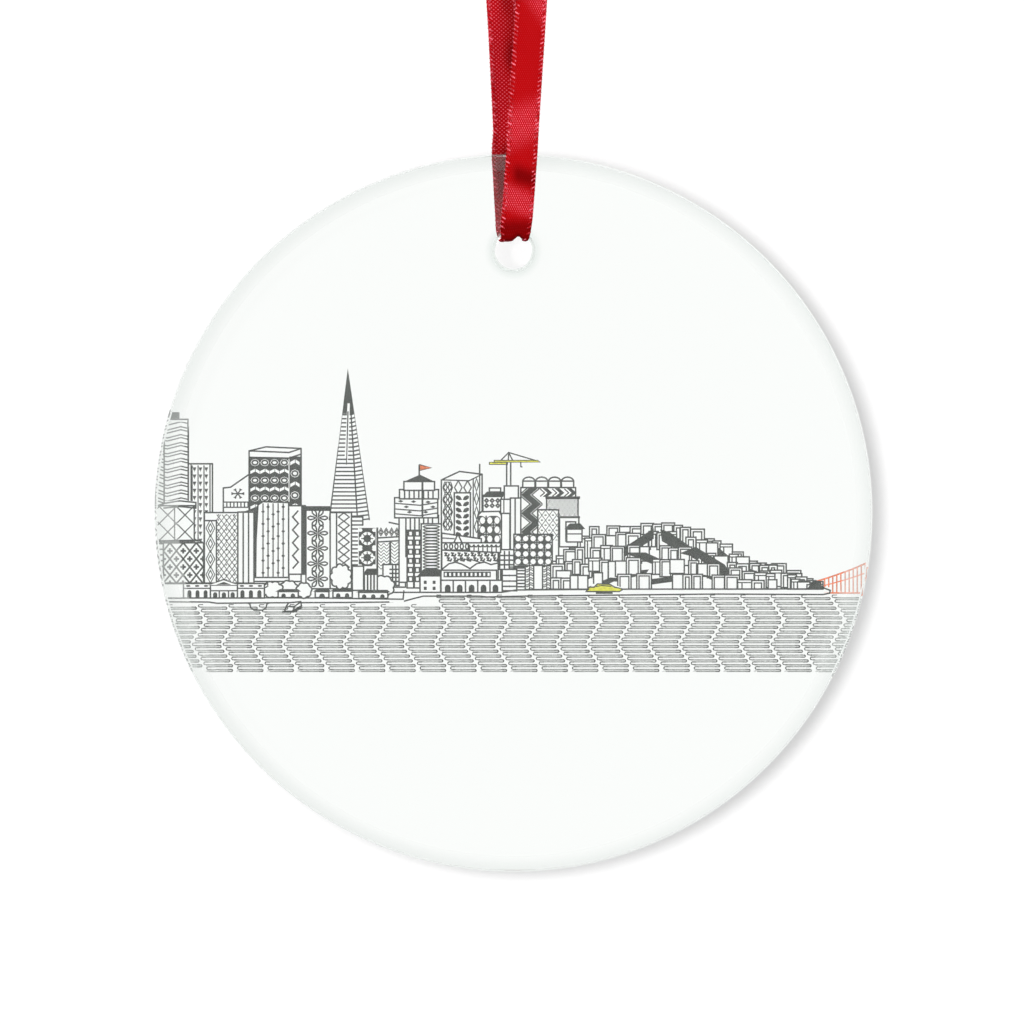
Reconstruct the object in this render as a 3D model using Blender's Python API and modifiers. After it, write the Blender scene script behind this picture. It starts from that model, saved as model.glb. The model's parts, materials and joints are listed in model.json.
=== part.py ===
"""A round printed glass ornament that hangs by a loop of narrow satin ribbon.

Units are metres, +Z is up and the printed face looks along -Y. The origin is the hang point,
the underside of the ribbon's loop, where a hook or a twig carries it.
"""

import math

import bmesh
import bpy
from mathutils import Matrix, Vector

MM = 0.001

# Driving dimensions: the disc
DISC_DIAMETER = 88.9 * MM
GLASS_THICKNESS = 3.75 * MM
FILM_THICKNESS = 0.2 * MM
FILM_GAP = 0.05 * MM
BEVEL_WIDTH = 2.85 * MM
BEVEL_DEPTH = 0.5 * MM
ARRIS = 0.2 * MM
HOLE_DIAMETER = 4.55 * MM
HOLE_TO_CENTRE = 32.5 * MM
FILM_HOLE_MARGIN = 0.2 * MM
FILM_RIM_MARGIN = 0.1 * MM
DISC_SEGMENTS = 128
HOLE_SEGMENTS = 40

# Driving dimensions: the ribbon
RIBBON_WIDTH = 4.0 * MM
RIBBON_THICKNESS = 0.4 * MM
GAP = 0.3 * MM
HANG_TO_HOLE = 62.0 * MM
TWIST_JOINT_DROP = 24.0 * MM
TILT_JOINT_DROP = 43.0 * MM
TILT_CLEARANCE = 0.9 * MM
BIGHT_HALF_ANGLE = math.radians(56)
KNOT_HALF_SIZE = (2.9 * MM, 2.3 * MM, 2.2 * MM)
KNOT_BASE = 0.5 * MM

# Worked out from the dimensions above
DISC_RADIUS = DISC_DIAMETER / 2
DISC_THICKNESS = GLASS_THICKNESS + FILM_GAP + FILM_THICKNESS
FRONT_Y = -DISC_THICKNESS / 2
HOLE_Z = -HANG_TO_HOLE
DISC_Z = HOLE_Z - HOLE_TO_CENTRE
HOLE_RADIUS = HOLE_DIAMETER / 2
TWIST_Z = -TWIST_JOINT_DROP
TILT_Z = -TILT_JOINT_DROP
KNOT_Z = KNOT_BASE + KNOT_HALF_SIZE[2]

# The ribbon's route, from the hole up to the knot, chosen by hand: x, y, z and the
# turn of the ribbon's width from the X axis, in millimetres and degrees
FRONT_ROUTE = [
    (0.14, -2.52, -59.7, 0),
    (0.89, -2.52, -47.0, 0),
    (1.77, -1.42, -32.0, 0),
    (2.30, -0.84, -24.0, 25),
    (2.85, -0.28, -16.0, 68),
    (3.15, 0.0, -9.5, 90),
    (3.10, 0.0, -6.0, 90),
    (2.55, 0.0, -3.0, 90),
    (1.45, 0.0, -1.0, 90),
    (0.45, 0.0, 0.1, 90),
]
BACK_ROUTE = [
    (-0.12, 2.52, -59.7, 0),
    (-0.76, 2.52, -47.0, 0),
    (-1.51, 1.42, -32.0, 0),
    (-2.15, 0.84, -24.0, 25),
    (-2.80, 0.28, -16.0, 68),
    (-3.15, 0.0, -9.5, 90),
    (-3.10, 0.0, -6.0, 90),
    (-2.55, 0.0, -3.0, 90),
    (-1.45, 0.0, -1.0, 90),
    (-0.45, 0.0, 0.1, 90),
]
TAIL_ROUTE = [
    (1.10, 0.3, 5.2, 75),
    (1.90, 0.5, 7.6, 60),
    (3.10, 0.9, 10.6, 50),
    (4.60, 1.0, 13.2, 45),
]


def clear_scene():
    for thing in list(bpy.data.objects):
        bpy.data.objects.remove(thing, do_unlink=True)


def make_material(name, colour, roughness, metallic=0.0, alpha=1.0, transmission=0.0):
    material = bpy.data.materials.new(name)
    material.use_nodes = True
    shader = material.node_tree.nodes["Principled BSDF"]
    shader.inputs["Base Color"].default_value = (*colour, 1.0)
    shader.inputs["Roughness"].default_value = roughness
    shader.inputs["Metallic"].default_value = metallic
    shader.inputs["Alpha"].default_value = alpha
    shader.inputs["Transmission Weight"].default_value = transmission
    return material


def make_collection(name):
    collection = bpy.data.collections.new(name)
    bpy.context.scene.collection.children.link(collection)
    return collection


def make_object(name, bm, collection, material=None, parent=None, origin=(0, 0, 0)):
    """Turn a bmesh in world coordinates into an object whose origin is at a given point."""
    bmesh.ops.translate(bm, verts=bm.verts, vec=-Vector(origin))
    mesh = bpy.data.meshes.new(name)
    bm.to_mesh(mesh)
    bm.free()
    thing = bpy.data.objects.new(name, mesh)
    collection.objects.link(thing)
    if material:
        mesh.materials.append(material)
    if parent:
        thing.parent = parent
        thing.location = Vector(origin) - parent.matrix_world.translation
    else:
        thing.location = origin
    return thing


def make_pivot(name, place, collection, parent=None):
    pivot = bpy.data.objects.new(name, None)
    pivot.empty_display_size = 5 * MM
    collection.objects.link(pivot)
    if parent:
        pivot.parent = parent
        pivot.location = Vector(place) - parent.matrix_world.translation
    else:
        pivot.location = place
    bpy.context.view_layer.update()
    return pivot


def smooth_round(thing, angle=30):
    thing.data.shade_smooth()
    thing.data.set_sharp_from_angle(angle=math.radians(angle))


def hole_cutter(name, radius, collection):
    """A pin along Y through the disc, at the hole."""
    bm = bmesh.new()
    bmesh.ops.create_cone(
        bm,
        cap_ends=True,
        segments=HOLE_SEGMENTS,
        radius1=radius,
        radius2=radius,
        depth=4 * DISC_THICKNESS,
    )
    bmesh.ops.rotate(bm, verts=bm.verts, matrix=Matrix.Rotation(math.pi / 2, 3, "X"))
    cutter = make_object(name, bm, collection, origin=(0, 0, 0))
    cutter.location = (0, 0, HOLE_Z)
    cutter.hide_render = True
    cutter.display_type = "WIRE"
    return cutter


def turned_disc(name, profile, cutter, collection, material, parent):
    """A disc turned about the Y axis through the disc's centre, with the hole cut through it.

    The profile is a list of (radius, y), from the centre of the front face, round the rim and
    back to the centre of the back face.
    """
    mesh = bpy.data.meshes.new(name)
    bm = bmesh.new()
    points = [bm.verts.new((radius, 0, -y)) for radius, y in profile]
    for start, end in zip(points, points[1:]):
        bm.edges.new((start, end))
    bm.to_mesh(mesh)
    bm.free()
    mesh.materials.append(material)
    disc = bpy.data.objects.new(name, mesh)
    collection.objects.link(disc)
    disc.parent = parent
    disc.rotation_euler = (math.pi / 2, 0, 0)
    disc.location = Vector((0, 0, DISC_Z)) - parent.matrix_world.translation

    screw = disc.modifiers.new("turn", "SCREW")
    screw.axis = "Z"
    screw.steps = DISC_SEGMENTS
    screw.render_steps = DISC_SEGMENTS
    screw.use_merge_vertices = True
    screw.merge_threshold = 0.00001

    drill = disc.modifiers.new("hole", "BOOLEAN")
    drill.operation = "DIFFERENCE"
    drill.object = cutter
    smooth_round(disc)
    return disc


def build_disc(parts, cutters, pivot):
    glass = make_material("glass", (0.93, 0.98, 0.95), 0.03, alpha=0.35, transmission=1.0)
    film = make_material("printed film", (0.72, 0.75, 0.73), 0.5, alpha=0.5)

    glass_back = FRONT_Y + GLASS_THICKNESS
    glass_profile = [
        (0, FRONT_Y),
        (DISC_RADIUS - BEVEL_WIDTH, FRONT_Y),
        (DISC_RADIUS, FRONT_Y + BEVEL_DEPTH),
        (DISC_RADIUS, glass_back - ARRIS),
        (DISC_RADIUS - ARRIS, glass_back),
        (0, glass_back),
    ]
    bore = hole_cutter("hole_cutter", HOLE_RADIUS, cutters)
    turned_disc("glass_disc", glass_profile, bore, parts, glass, pivot)

    film_radius = DISC_RADIUS - ARRIS - FILM_RIM_MARGIN
    film_front = glass_back + FILM_GAP
    film_profile = [
        (0, film_front),
        (film_radius, film_front),
        (film_radius, film_front + FILM_THICKNESS),
        (0, film_front + FILM_THICKNESS),
    ]
    film_bore = hole_cutter("film_hole_cutter", HOLE_RADIUS + FILM_HOLE_MARGIN, cutters)
    turned_disc("artwork_film", film_profile, film_bore, parts, film, pivot)


def curve_through(route, steps):
    """Points and width angles along a smooth Catmull-Rom curve through a route."""
    keys = [Vector(key) for key in route]
    keys = [2 * keys[0] - keys[1], *keys, 2 * keys[-1] - keys[-2]]
    stations = []
    for before, start, end, after in zip(keys, keys[1:], keys[2:], keys[3:]):
        for step in range(steps):
            t = step / steps
            stations.append(
                0.5
                * (
                    2 * start
                    + (end - before) * t
                    + (2 * before - 5 * start + 4 * end - after) * t**2
                    + (3 * start - before - 3 * end + after) * t**3
                )
            )
    stations.append(keys[-2])
    return [
        (Vector((s[0], s[1], s[2])) * MM, math.radians(s[3])) for s in stations
    ]


def between(stations, low, high):
    """The part of a route between two heights, with its ends cut level."""
    kept = []
    for (start, turn_a), (end, turn_b) in zip(stations, stations[1:]):
        for cut in (low, high):
            if start.z < cut <= end.z:
                share = (cut - start.z) / (end.z - start.z)
                kept.append((start.lerp(end, share), turn_a + share * (turn_b - turn_a)))
        if low < end.z < high:
            kept.append((end, turn_b))
    if stations[0][0].z >= low:
        kept.insert(0, stations[0])
    return kept


def ribbon_strip(name, stations, collection, material, parent, origin):
    """A flat strip: one rectangle carried along the route, extruded from station to station."""
    bm = bmesh.new()
    bmesh.ops.create_grid(bm, x_segments=1, y_segments=1, size=0.5)
    face = bm.faces[:][0]
    corners = [(vert.co.x * RIBBON_WIDTH, vert.co.y * RIBBON_THICKNESS) for vert in face.verts]
    places = [place for place, _ in stations]
    for index, (place, turn) in enumerate(stations):
        tangent = (places[min(index + 1, len(places) - 1)] - places[max(index - 1, 0)]).normalized()
        across = Vector((math.cos(turn), math.sin(turn), 0))
        out = tangent.cross(across).normalized()
        if index:
            last = face
            made = bmesh.ops.extrude_face_region(bm, geom=[last])["geom"]
            face = next(item for item in made if isinstance(item, bmesh.types.BMFace))
            if index > 1:
                bmesh.ops.delete(bm, geom=[last], context="FACES_ONLY")
        for vert, (wide, thick) in zip(face.verts, corners):
            vert.co = place + across * wide + out * thick
    bmesh.ops.recalc_face_normals(bm, faces=bm.faces)
    return make_object(name, bm, collection, material, parent, origin)


def ribbon_bight(collection, material, parent, origin):
    """The turn through the hole: a strip arched like the top of the hole."""
    middle_radius = HOLE_RADIUS - GAP - RIBBON_THICKNESS / 2
    reach = DISC_THICKNESS / 2 + GAP + RIBBON_THICKNESS + 0.05 * MM
    bm = bmesh.new()
    low = bm.verts.new((0, -reach, HOLE_Z + middle_radius - RIBBON_THICKNESS / 2))
    high = bm.verts.new((0, -reach, HOLE_Z + middle_radius + RIBBON_THICKNESS / 2))
    edge = bm.edges.new((low, high))
    centre = Vector((0, -reach, HOLE_Z))
    bmesh.ops.rotate(
        bm,
        verts=[low, high],
        cent=centre,
        matrix=Matrix.Rotation(-BIGHT_HALF_ANGLE, 3, "Y"),
    )
    bmesh.ops.spin(
        bm,
        geom=[low, high, edge],
        cent=centre,
        axis=(0, 1, 0),
        angle=2 * BIGHT_HALF_ANGLE,
        steps=10,
        use_merge=False,
    )
    swept = bmesh.ops.extrude_face_region(bm, geom=bm.faces[:])["geom"]
    moved = [item for item in swept if isinstance(item, bmesh.types.BMVert)]
    bmesh.ops.translate(bm, verts=moved, vec=(0, 2 * reach, 0))
    bmesh.ops.recalc_face_normals(bm, faces=bm.faces)
    return make_object("ribbon_bight", bm, collection, material, parent, origin)


def build_knot(collection, material, parent):
    """The knot: a flattened ball with a waist, as a tightened overhand knot has."""
    bm = bmesh.new()
    bmesh.ops.create_uvsphere(bm, u_segments=24, v_segments=14, radius=1)
    for vert in bm.verts:
        waist = 1 - 0.10 * math.cos(3 * vert.co.z) ** 2
        vert.co.x *= KNOT_HALF_SIZE[0] * waist
        vert.co.y *= KNOT_HALF_SIZE[1] * waist
        vert.co.z *= KNOT_HALF_SIZE[2]
    knot = make_object("ribbon_knot", bm, collection, material, parent)
    knot.location = (0, 0, KNOT_Z)
    smooth_round(knot, 60)
    return knot


def build_ribbon(parts, hang_loop, middle, lower):
    satin = make_material("red satin", (0.45, 0.005, 0.012), 0.35)
    twist_point = Vector((0, 0, TWIST_Z))
    tilt_point = Vector((0, 0, TILT_Z))
    hole_point = Vector((0, 0, HOLE_Z))
    sides = (("front", "right", FRONT_ROUTE), ("back", "left", BACK_ROUTE))
    for face, side, route in sides:
        whole = curve_through(route, 5)
        arm = between(whole, TWIST_Z + GAP / 2, 1.0)
        run = between(whole, TILT_Z + TILT_CLEARANCE, TWIST_Z - GAP / 2)
        end = between(whole, whole[0][0].z, TILT_Z - TILT_CLEARANCE)
        ribbon_strip(f"loop_arm_{side}", arm, parts, satin, hang_loop, (0, 0, 0))
        ribbon_strip(f"middle_run_{face}", run, parts, satin, middle, twist_point)
        ribbon_strip(f"lower_run_{face}", end, parts, satin, lower, tilt_point)
    ribbon_bight(parts, satin, lower, hole_point)
    build_knot(parts, satin, hang_loop)
    for side, sign in (("right", 1), ("left", -1)):
        route = [(sign * x, sign * y, z, turn) for x, y, z, turn in TAIL_ROUTE]
        tail = curve_through(route, 3)
        ribbon_strip(f"ribbon_tail_{side}", tail, parts, satin, hang_loop, (0, 0, 0))


def main():
    clear_scene()
    parts = make_collection("glass_ornament")
    cutters = make_collection("cutters")
    hang_loop = make_pivot("hang_point", (0, 0, 0), parts)
    middle = make_pivot("twist_pivot", (0, 0, TWIST_Z), parts, hang_loop)
    lower = make_pivot("tilt_pivot", (0, 0, TILT_Z), parts, middle)
    swing = make_pivot("swing_pivot", (0, 0, HOLE_Z), parts, lower)
    build_disc(parts, cutters, swing)
    build_ribbon(parts, hang_loop, middle, lower)


main()
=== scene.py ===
"""Looks for a round glass ornament with a printed harbour town, hung on a knotted red satin ribbon."""

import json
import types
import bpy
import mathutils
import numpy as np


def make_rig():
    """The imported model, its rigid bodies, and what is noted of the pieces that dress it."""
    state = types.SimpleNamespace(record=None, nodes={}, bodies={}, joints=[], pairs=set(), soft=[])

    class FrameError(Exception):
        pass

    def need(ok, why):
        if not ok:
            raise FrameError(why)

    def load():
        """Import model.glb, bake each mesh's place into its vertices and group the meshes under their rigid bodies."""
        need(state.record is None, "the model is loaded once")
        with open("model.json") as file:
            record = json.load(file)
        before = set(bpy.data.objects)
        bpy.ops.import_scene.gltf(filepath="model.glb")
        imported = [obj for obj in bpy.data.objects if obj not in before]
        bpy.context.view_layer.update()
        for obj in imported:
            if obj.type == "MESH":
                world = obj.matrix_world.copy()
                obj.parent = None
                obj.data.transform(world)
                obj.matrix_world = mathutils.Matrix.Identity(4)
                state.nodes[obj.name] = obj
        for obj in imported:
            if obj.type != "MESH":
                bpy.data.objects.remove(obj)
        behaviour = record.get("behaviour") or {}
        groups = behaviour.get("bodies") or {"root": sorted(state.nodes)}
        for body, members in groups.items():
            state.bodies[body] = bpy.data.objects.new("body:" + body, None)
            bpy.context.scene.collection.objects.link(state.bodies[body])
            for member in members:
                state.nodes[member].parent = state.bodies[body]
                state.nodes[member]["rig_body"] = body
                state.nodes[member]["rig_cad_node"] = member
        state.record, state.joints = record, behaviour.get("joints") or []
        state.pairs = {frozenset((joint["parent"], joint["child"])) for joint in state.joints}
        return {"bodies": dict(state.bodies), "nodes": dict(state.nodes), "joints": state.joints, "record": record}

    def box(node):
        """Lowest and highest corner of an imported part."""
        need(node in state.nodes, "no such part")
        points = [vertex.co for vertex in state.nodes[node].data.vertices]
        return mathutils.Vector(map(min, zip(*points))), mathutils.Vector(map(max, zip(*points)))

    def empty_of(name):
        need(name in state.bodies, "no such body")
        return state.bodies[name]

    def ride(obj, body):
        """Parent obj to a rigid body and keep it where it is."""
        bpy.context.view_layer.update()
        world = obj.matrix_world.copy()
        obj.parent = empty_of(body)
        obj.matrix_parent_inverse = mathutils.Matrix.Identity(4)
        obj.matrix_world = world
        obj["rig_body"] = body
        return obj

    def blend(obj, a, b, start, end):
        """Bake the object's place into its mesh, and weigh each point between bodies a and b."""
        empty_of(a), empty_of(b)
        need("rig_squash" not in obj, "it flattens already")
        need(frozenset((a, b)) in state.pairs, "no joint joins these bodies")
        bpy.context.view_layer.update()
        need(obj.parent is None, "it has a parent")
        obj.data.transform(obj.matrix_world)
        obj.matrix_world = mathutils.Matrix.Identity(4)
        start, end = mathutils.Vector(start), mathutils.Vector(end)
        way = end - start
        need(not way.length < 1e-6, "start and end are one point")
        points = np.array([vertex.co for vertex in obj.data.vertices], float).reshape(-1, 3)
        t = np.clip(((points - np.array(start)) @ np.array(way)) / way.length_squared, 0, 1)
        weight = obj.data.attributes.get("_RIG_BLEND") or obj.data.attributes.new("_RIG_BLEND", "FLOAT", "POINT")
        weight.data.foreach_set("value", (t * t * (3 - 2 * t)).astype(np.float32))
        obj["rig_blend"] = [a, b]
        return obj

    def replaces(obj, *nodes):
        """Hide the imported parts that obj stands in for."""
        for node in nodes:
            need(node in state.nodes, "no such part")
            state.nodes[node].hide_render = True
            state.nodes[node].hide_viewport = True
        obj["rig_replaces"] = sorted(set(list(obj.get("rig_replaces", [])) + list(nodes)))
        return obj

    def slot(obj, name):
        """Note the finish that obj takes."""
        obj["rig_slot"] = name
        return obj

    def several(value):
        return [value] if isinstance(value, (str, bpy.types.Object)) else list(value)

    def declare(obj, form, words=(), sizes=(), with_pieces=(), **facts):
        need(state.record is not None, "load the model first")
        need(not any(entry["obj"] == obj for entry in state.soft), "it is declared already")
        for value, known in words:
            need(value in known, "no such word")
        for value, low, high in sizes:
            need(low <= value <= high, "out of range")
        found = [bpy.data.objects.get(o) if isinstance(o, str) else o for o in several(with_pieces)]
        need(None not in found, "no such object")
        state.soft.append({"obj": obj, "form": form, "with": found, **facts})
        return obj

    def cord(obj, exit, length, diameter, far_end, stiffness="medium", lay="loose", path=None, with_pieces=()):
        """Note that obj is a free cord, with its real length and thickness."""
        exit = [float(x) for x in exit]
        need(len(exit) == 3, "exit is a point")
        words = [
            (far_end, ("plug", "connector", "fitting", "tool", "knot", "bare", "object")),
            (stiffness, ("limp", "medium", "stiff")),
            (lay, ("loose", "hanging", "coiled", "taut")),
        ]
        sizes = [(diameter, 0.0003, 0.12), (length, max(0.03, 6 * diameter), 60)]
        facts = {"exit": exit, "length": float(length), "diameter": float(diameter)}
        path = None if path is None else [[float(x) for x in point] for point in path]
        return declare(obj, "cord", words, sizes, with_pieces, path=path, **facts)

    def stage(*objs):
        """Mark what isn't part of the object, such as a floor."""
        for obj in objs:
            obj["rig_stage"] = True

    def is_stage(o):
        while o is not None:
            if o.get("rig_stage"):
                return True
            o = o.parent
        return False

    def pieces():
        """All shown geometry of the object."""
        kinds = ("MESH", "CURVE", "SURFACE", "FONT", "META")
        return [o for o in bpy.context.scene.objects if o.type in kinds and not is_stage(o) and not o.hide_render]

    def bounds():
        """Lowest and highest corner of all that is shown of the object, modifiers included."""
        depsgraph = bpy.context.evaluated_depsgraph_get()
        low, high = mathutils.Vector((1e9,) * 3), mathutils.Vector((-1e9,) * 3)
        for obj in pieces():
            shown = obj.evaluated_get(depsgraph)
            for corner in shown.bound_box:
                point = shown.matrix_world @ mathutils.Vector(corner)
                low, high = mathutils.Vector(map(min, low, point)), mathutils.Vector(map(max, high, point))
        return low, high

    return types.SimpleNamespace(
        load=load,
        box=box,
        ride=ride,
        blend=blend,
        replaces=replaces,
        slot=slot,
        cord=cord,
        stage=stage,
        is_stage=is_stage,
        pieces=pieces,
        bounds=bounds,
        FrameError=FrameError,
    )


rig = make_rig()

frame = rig.load()

import json
import math
import random

import bmesh
import bpy
from mathutils import Matrix, Vector

CAD_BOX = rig.bounds()
MM = 0.001
TAU = 2 * math.pi

# Disc, millimetres. x runs across, y from front to back, z up; the hang point is the origin.
disc_low, disc_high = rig.box("glass_disc")
DISC_RADIUS = (disc_high[0] - disc_low[0]) / 2 / MM
DISC_Z = (disc_high[2] + disc_low[2]) / 2 / MM
FACE_Y, BACK_Y = disc_low[1] / MM, disc_high[1] / MM
BEVEL_WIDTH, BEVEL_DEPTH, ARRIS = 2.85, 0.09, 0.2
BEVEL_RADIUS = DISC_RADIUS - BEVEL_WIDTH
HOLE_RADIUS, HOLE_TO_CENTRE = 2.275, 32.5
HOLE_Z = DISC_Z + HOLE_TO_CENTRE
SHADE_RADIUS = 42.5          # outside this the ground edge holds back light
HOLE_SHADE = 0.45            # and this far round the hole
INK_Y = BACK_Y + 0.11        # the print lies just behind the glass

# Ribbon, millimetres
HALF_WIDTH = 2.0
RIBBON_THICKNESS = 0.16
SEAM_Z, SEAM_LAP = -30.5, 0.13


# ---------------------------------------------------------------- camera and stage
VIEW_WIDTH, VIEW_DISTANCE = 126.8, 1500.0
AIM_X, AIM_Z = -0.19, DISC_Z + 0.12

camera_data = bpy.data.cameras.new("camera")
camera_data.sensor_width = 36
camera_data.lens = 36 * (VIEW_DISTANCE + FACE_Y) / VIEW_WIDTH
camera_data.clip_start, camera_data.clip_end = 0.05, 20
camera = bpy.data.objects.new("camera", camera_data)
camera.location = Vector((AIM_X, -VIEW_DISTANCE, AIM_Z)) * MM
camera.rotation_euler = (math.pi / 2, 0, 0)
scene = bpy.context.scene
scene.collection.objects.link(camera)
scene.camera = camera
scene.view_settings.view_transform = "Standard"
scene.view_settings.look = "None"
scene.cycles.max_bounces = 8
scene.cycles.diffuse_bounces = 2
scene.cycles.caustics_reflective = False
scene.cycles.caustics_refractive = False


class Term:
    """A shader socket that takes part in Python sums; each operator adds its Math node."""

    def __init__(self, tree, socket=None):
        self.tree, self.socket = tree, socket

    def node(self, kind, settings=None, inputs=None, out=0):
        """Adds any node: its settings are set first, then its sockets are given values or terms."""
        made = self.tree.nodes.new(kind)
        for key, value in (settings or {}).items():
            if key == "stops":
                ramp = made.color_ramp
                for index, (place, colour) in enumerate(value):
                    stop = ramp.elements[index] if index < 2 else ramp.elements.new(place)
                    stop.position, stop.color = place, (*colour, 1)
            else:
                setattr(made, key, value)
        for key, value in (inputs or {}).items():
            self.feed(made.inputs[key], value)
        return Term(self.tree, made.outputs[out])

    def feed(self, socket, value):
        if isinstance(value, Term):
            self.tree.links.new(value.socket, socket)
        elif isinstance(value, tuple) and len(value) == 3 and socket.type == "RGBA":
            socket.default_value = (*value, 1)
        else:
            socket.default_value = value

    def maths(self, operation, *values):
        return self.node("ShaderNodeMath", {"operation": operation}, dict(enumerate(values)))

    def __add__(self, other): return self.maths("ADD", self, other)
    def __radd__(self, other): return self.maths("ADD", other, self)
    def __sub__(self, other): return self.maths("SUBTRACT", self, other)
    def __rsub__(self, other): return self.maths("SUBTRACT", other, self)
    def __mul__(self, other): return self.maths("MULTIPLY", self, other)
    def __rmul__(self, other): return self.maths("MULTIPLY", other, self)
    def __truediv__(self, other): return self.maths("DIVIDE", self, other)
    def __pow__(self, other): return self.maths("POWER", self, other)
    def __abs__(self): return self.maths("ABSOLUTE", self)

    def cosine(self):
        return self.maths("COSINE", self)

    def between(self, low, high):
        """0 at low and 1 at high, smooth in between."""
        return self.node("ShaderNodeMapRange", {"interpolation_type": "SMOOTHSTEP"},
                         {"Value": self, "From Min": low, "From Max": high})

    def blend(self, first, second):
        """Colour first where this term is 0 and second where it is 1."""
        return self.node("ShaderNodeMix", {"data_type": "RGBA"}, {0: self, 6: first, 7: second}, out=2)


def new_finish(name, **constants):
    """A material with one Principled shader; words give its constant sockets."""
    material = bpy.data.materials.new(name)
    material.use_nodes = True
    tree = material.node_tree
    shader = tree.nodes["Principled BSDF"]
    for key, value in constants.items():
        socket = shader.inputs[key.replace("_", " ")]
        socket.default_value = (*value, 1) if isinstance(value, tuple) and socket.type == "RGBA" else value
    return material, Term(tree), shader


def clear_to_shadows(material, start, shader, passing):
    """Lets light through to what lies behind, dimmed to the colour passing."""
    shadow = start.node("ShaderNodeLightPath", out=1)
    clear = start.node("ShaderNodeBsdfTransparent", None, {"Color": passing})
    mixed = start.node("ShaderNodeMixShader", None, {0: shadow, 1: Term(start.tree, shader.outputs[0]), 2: clear})
    start.tree.links.new(mixed.socket, start.tree.nodes["Material Output"].inputs["Surface"])


def stage_finish(name, colour, glow):
    """Plain studio paper, seen from its front only."""
    material, start, shader = new_finish(name, Base_Color=colour, Roughness=0.9, Specular_IOR_Level=0.0)
    shader.inputs["Emission Color"].default_value = (1, 1, 1, 1)
    shader.inputs["Emission Strength"].default_value = glow
    through = start.node("ShaderNodeLightPath", out=6)
    even = start.node("ShaderNodeEmission", None, {"Strength": 1.02})
    paper = start.node("ShaderNodeMixShader", None, {0: through * 0.9, 1: Term(start.tree, shader.outputs[0]), 2: even})
    behind = start.node("ShaderNodeNewGeometry", out=6)
    clear = start.node("ShaderNodeBsdfTransparent")
    mixed = start.node("ShaderNodeMixShader", None, {0: behind, 1: paper, 2: clear})
    start.tree.links.new(mixed.socket, start.tree.nodes["Material Output"].inputs["Surface"])
    return material


def add_piece(name, bm, *materials):
    mesh = bpy.data.meshes.new(name)
    bm.to_mesh(mesh)
    bm.free()
    for material in materials:
        mesh.materials.append(material)
    piece = bpy.data.objects.new(name, mesh)
    scene.collection.objects.link(piece)
    return piece


def stage_sheet(name, size, matrix, material):
    bm = bmesh.new()
    bmesh.ops.create_grid(bm, x_segments=1, y_segments=1, size=size, matrix=matrix)
    sheet = add_piece(name, bm, material)
    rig.stage(sheet)
    return sheet


WALL_Y, FLOOR_Z = 66 * MM, -185 * MM
wall = stage_sheet("paper_wall", 2.5, Matrix.Translation((0, WALL_Y, FLOOR_Z + 2.5)) @ Matrix.Rotation(math.pi / 2, 4, "X"),
                   stage_finish("wall_paper", (0.8, 0.8, 0.8), 0.25))
floor = stage_sheet("paper_floor", 2.5, Matrix.Translation((0, 0, FLOOR_Z)),
                    stage_finish("floor_paper", (0.86, 0.86, 0.86), 0.25))
floor.visible_glossy = floor.visible_diffuse = False

world = bpy.data.worlds.new("studio")
scene.world = world
world.use_nodes = True
air = Term(world.node_tree)
seen = air.node("ShaderNodeLightPath", out=0)
mirrored = air.node("ShaderNodeLightPath", out=3)
through = air.node("ShaderNodeLightPath", out=6)
direction = air.node("ShaderNodeTexCoord", out=0)
toward_front = air.node("ShaderNodeSeparateXYZ", None, {0: direction}, out=1)
mirror_level = 0.26 + 0.2 * toward_front.between(-0.9, 0.3)
level = 0.55 + mirrored * (mirror_level - 0.55)
level = level + (seen + through) * (1.0 - level)
backdrop = world.node_tree.nodes["Background"]
air.feed(backdrop.inputs["Color"], (1, 1, 1))
air.feed(backdrop.inputs["Strength"], level)


def group_of(name, one, state="INCLUDE"):
    group = bpy.data.collections.new(name)
    group.objects.link(one)
    group.collection_objects[0].light_linking.link_state = state
    return group


wall_only = group_of("wall_only", wall)
all_but_wall = group_of("all_but_wall", wall, "EXCLUDE")


def softbox(name, place, size, watts, receivers, shape="RECTANGLE", target=(0, 0, -0.07)):
    data = bpy.data.lights.new(name, "AREA")
    data.shape, data.size, data.size_y, data.energy = shape, size[0], size[-1], watts
    lamp = bpy.data.objects.new(name, data)
    lamp.location = place
    lamp.rotation_mode = "QUATERNION"
    lamp.rotation_quaternion = (Vector(target) - Vector(place)).to_track_quat("-Z", "Y")
    lamp.visible_camera = False
    lamp.light_linking.receiver_collection = receivers
    scene.collection.objects.link(lamp)
    return lamp


wall_key = softbox("wall_key", (-0.0300, -1.5, DISC_Z * MM + 0.008), (0.050,), 12.8, wall_only, "DISK",
                   target=(0, WALL_Y, DISC_Z * MM))
wall_key.visible_glossy = wall_key.visible_transmission = False
room_lamps = [softbox("key_box", (-0.55, -0.85, 0.50), (0.5, 0.5), 9.6, all_but_wall),
              softbox("fill_box", (0.70, -0.75, 0.10), (0.35, 0.8), 5.6, all_but_wall),
              softbox("back_box", (0.35, 0.8, 0.5), (0.6, 0.6), 3.0, all_but_wall)]


# ---------------------------------------------------------------- satin ribbon
LOOP_PITCH = 0.53


def hump(term, low, high, soft):
    return term.between(low - soft, low + soft) * (1 - term.between(high - soft, high + soft))


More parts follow.
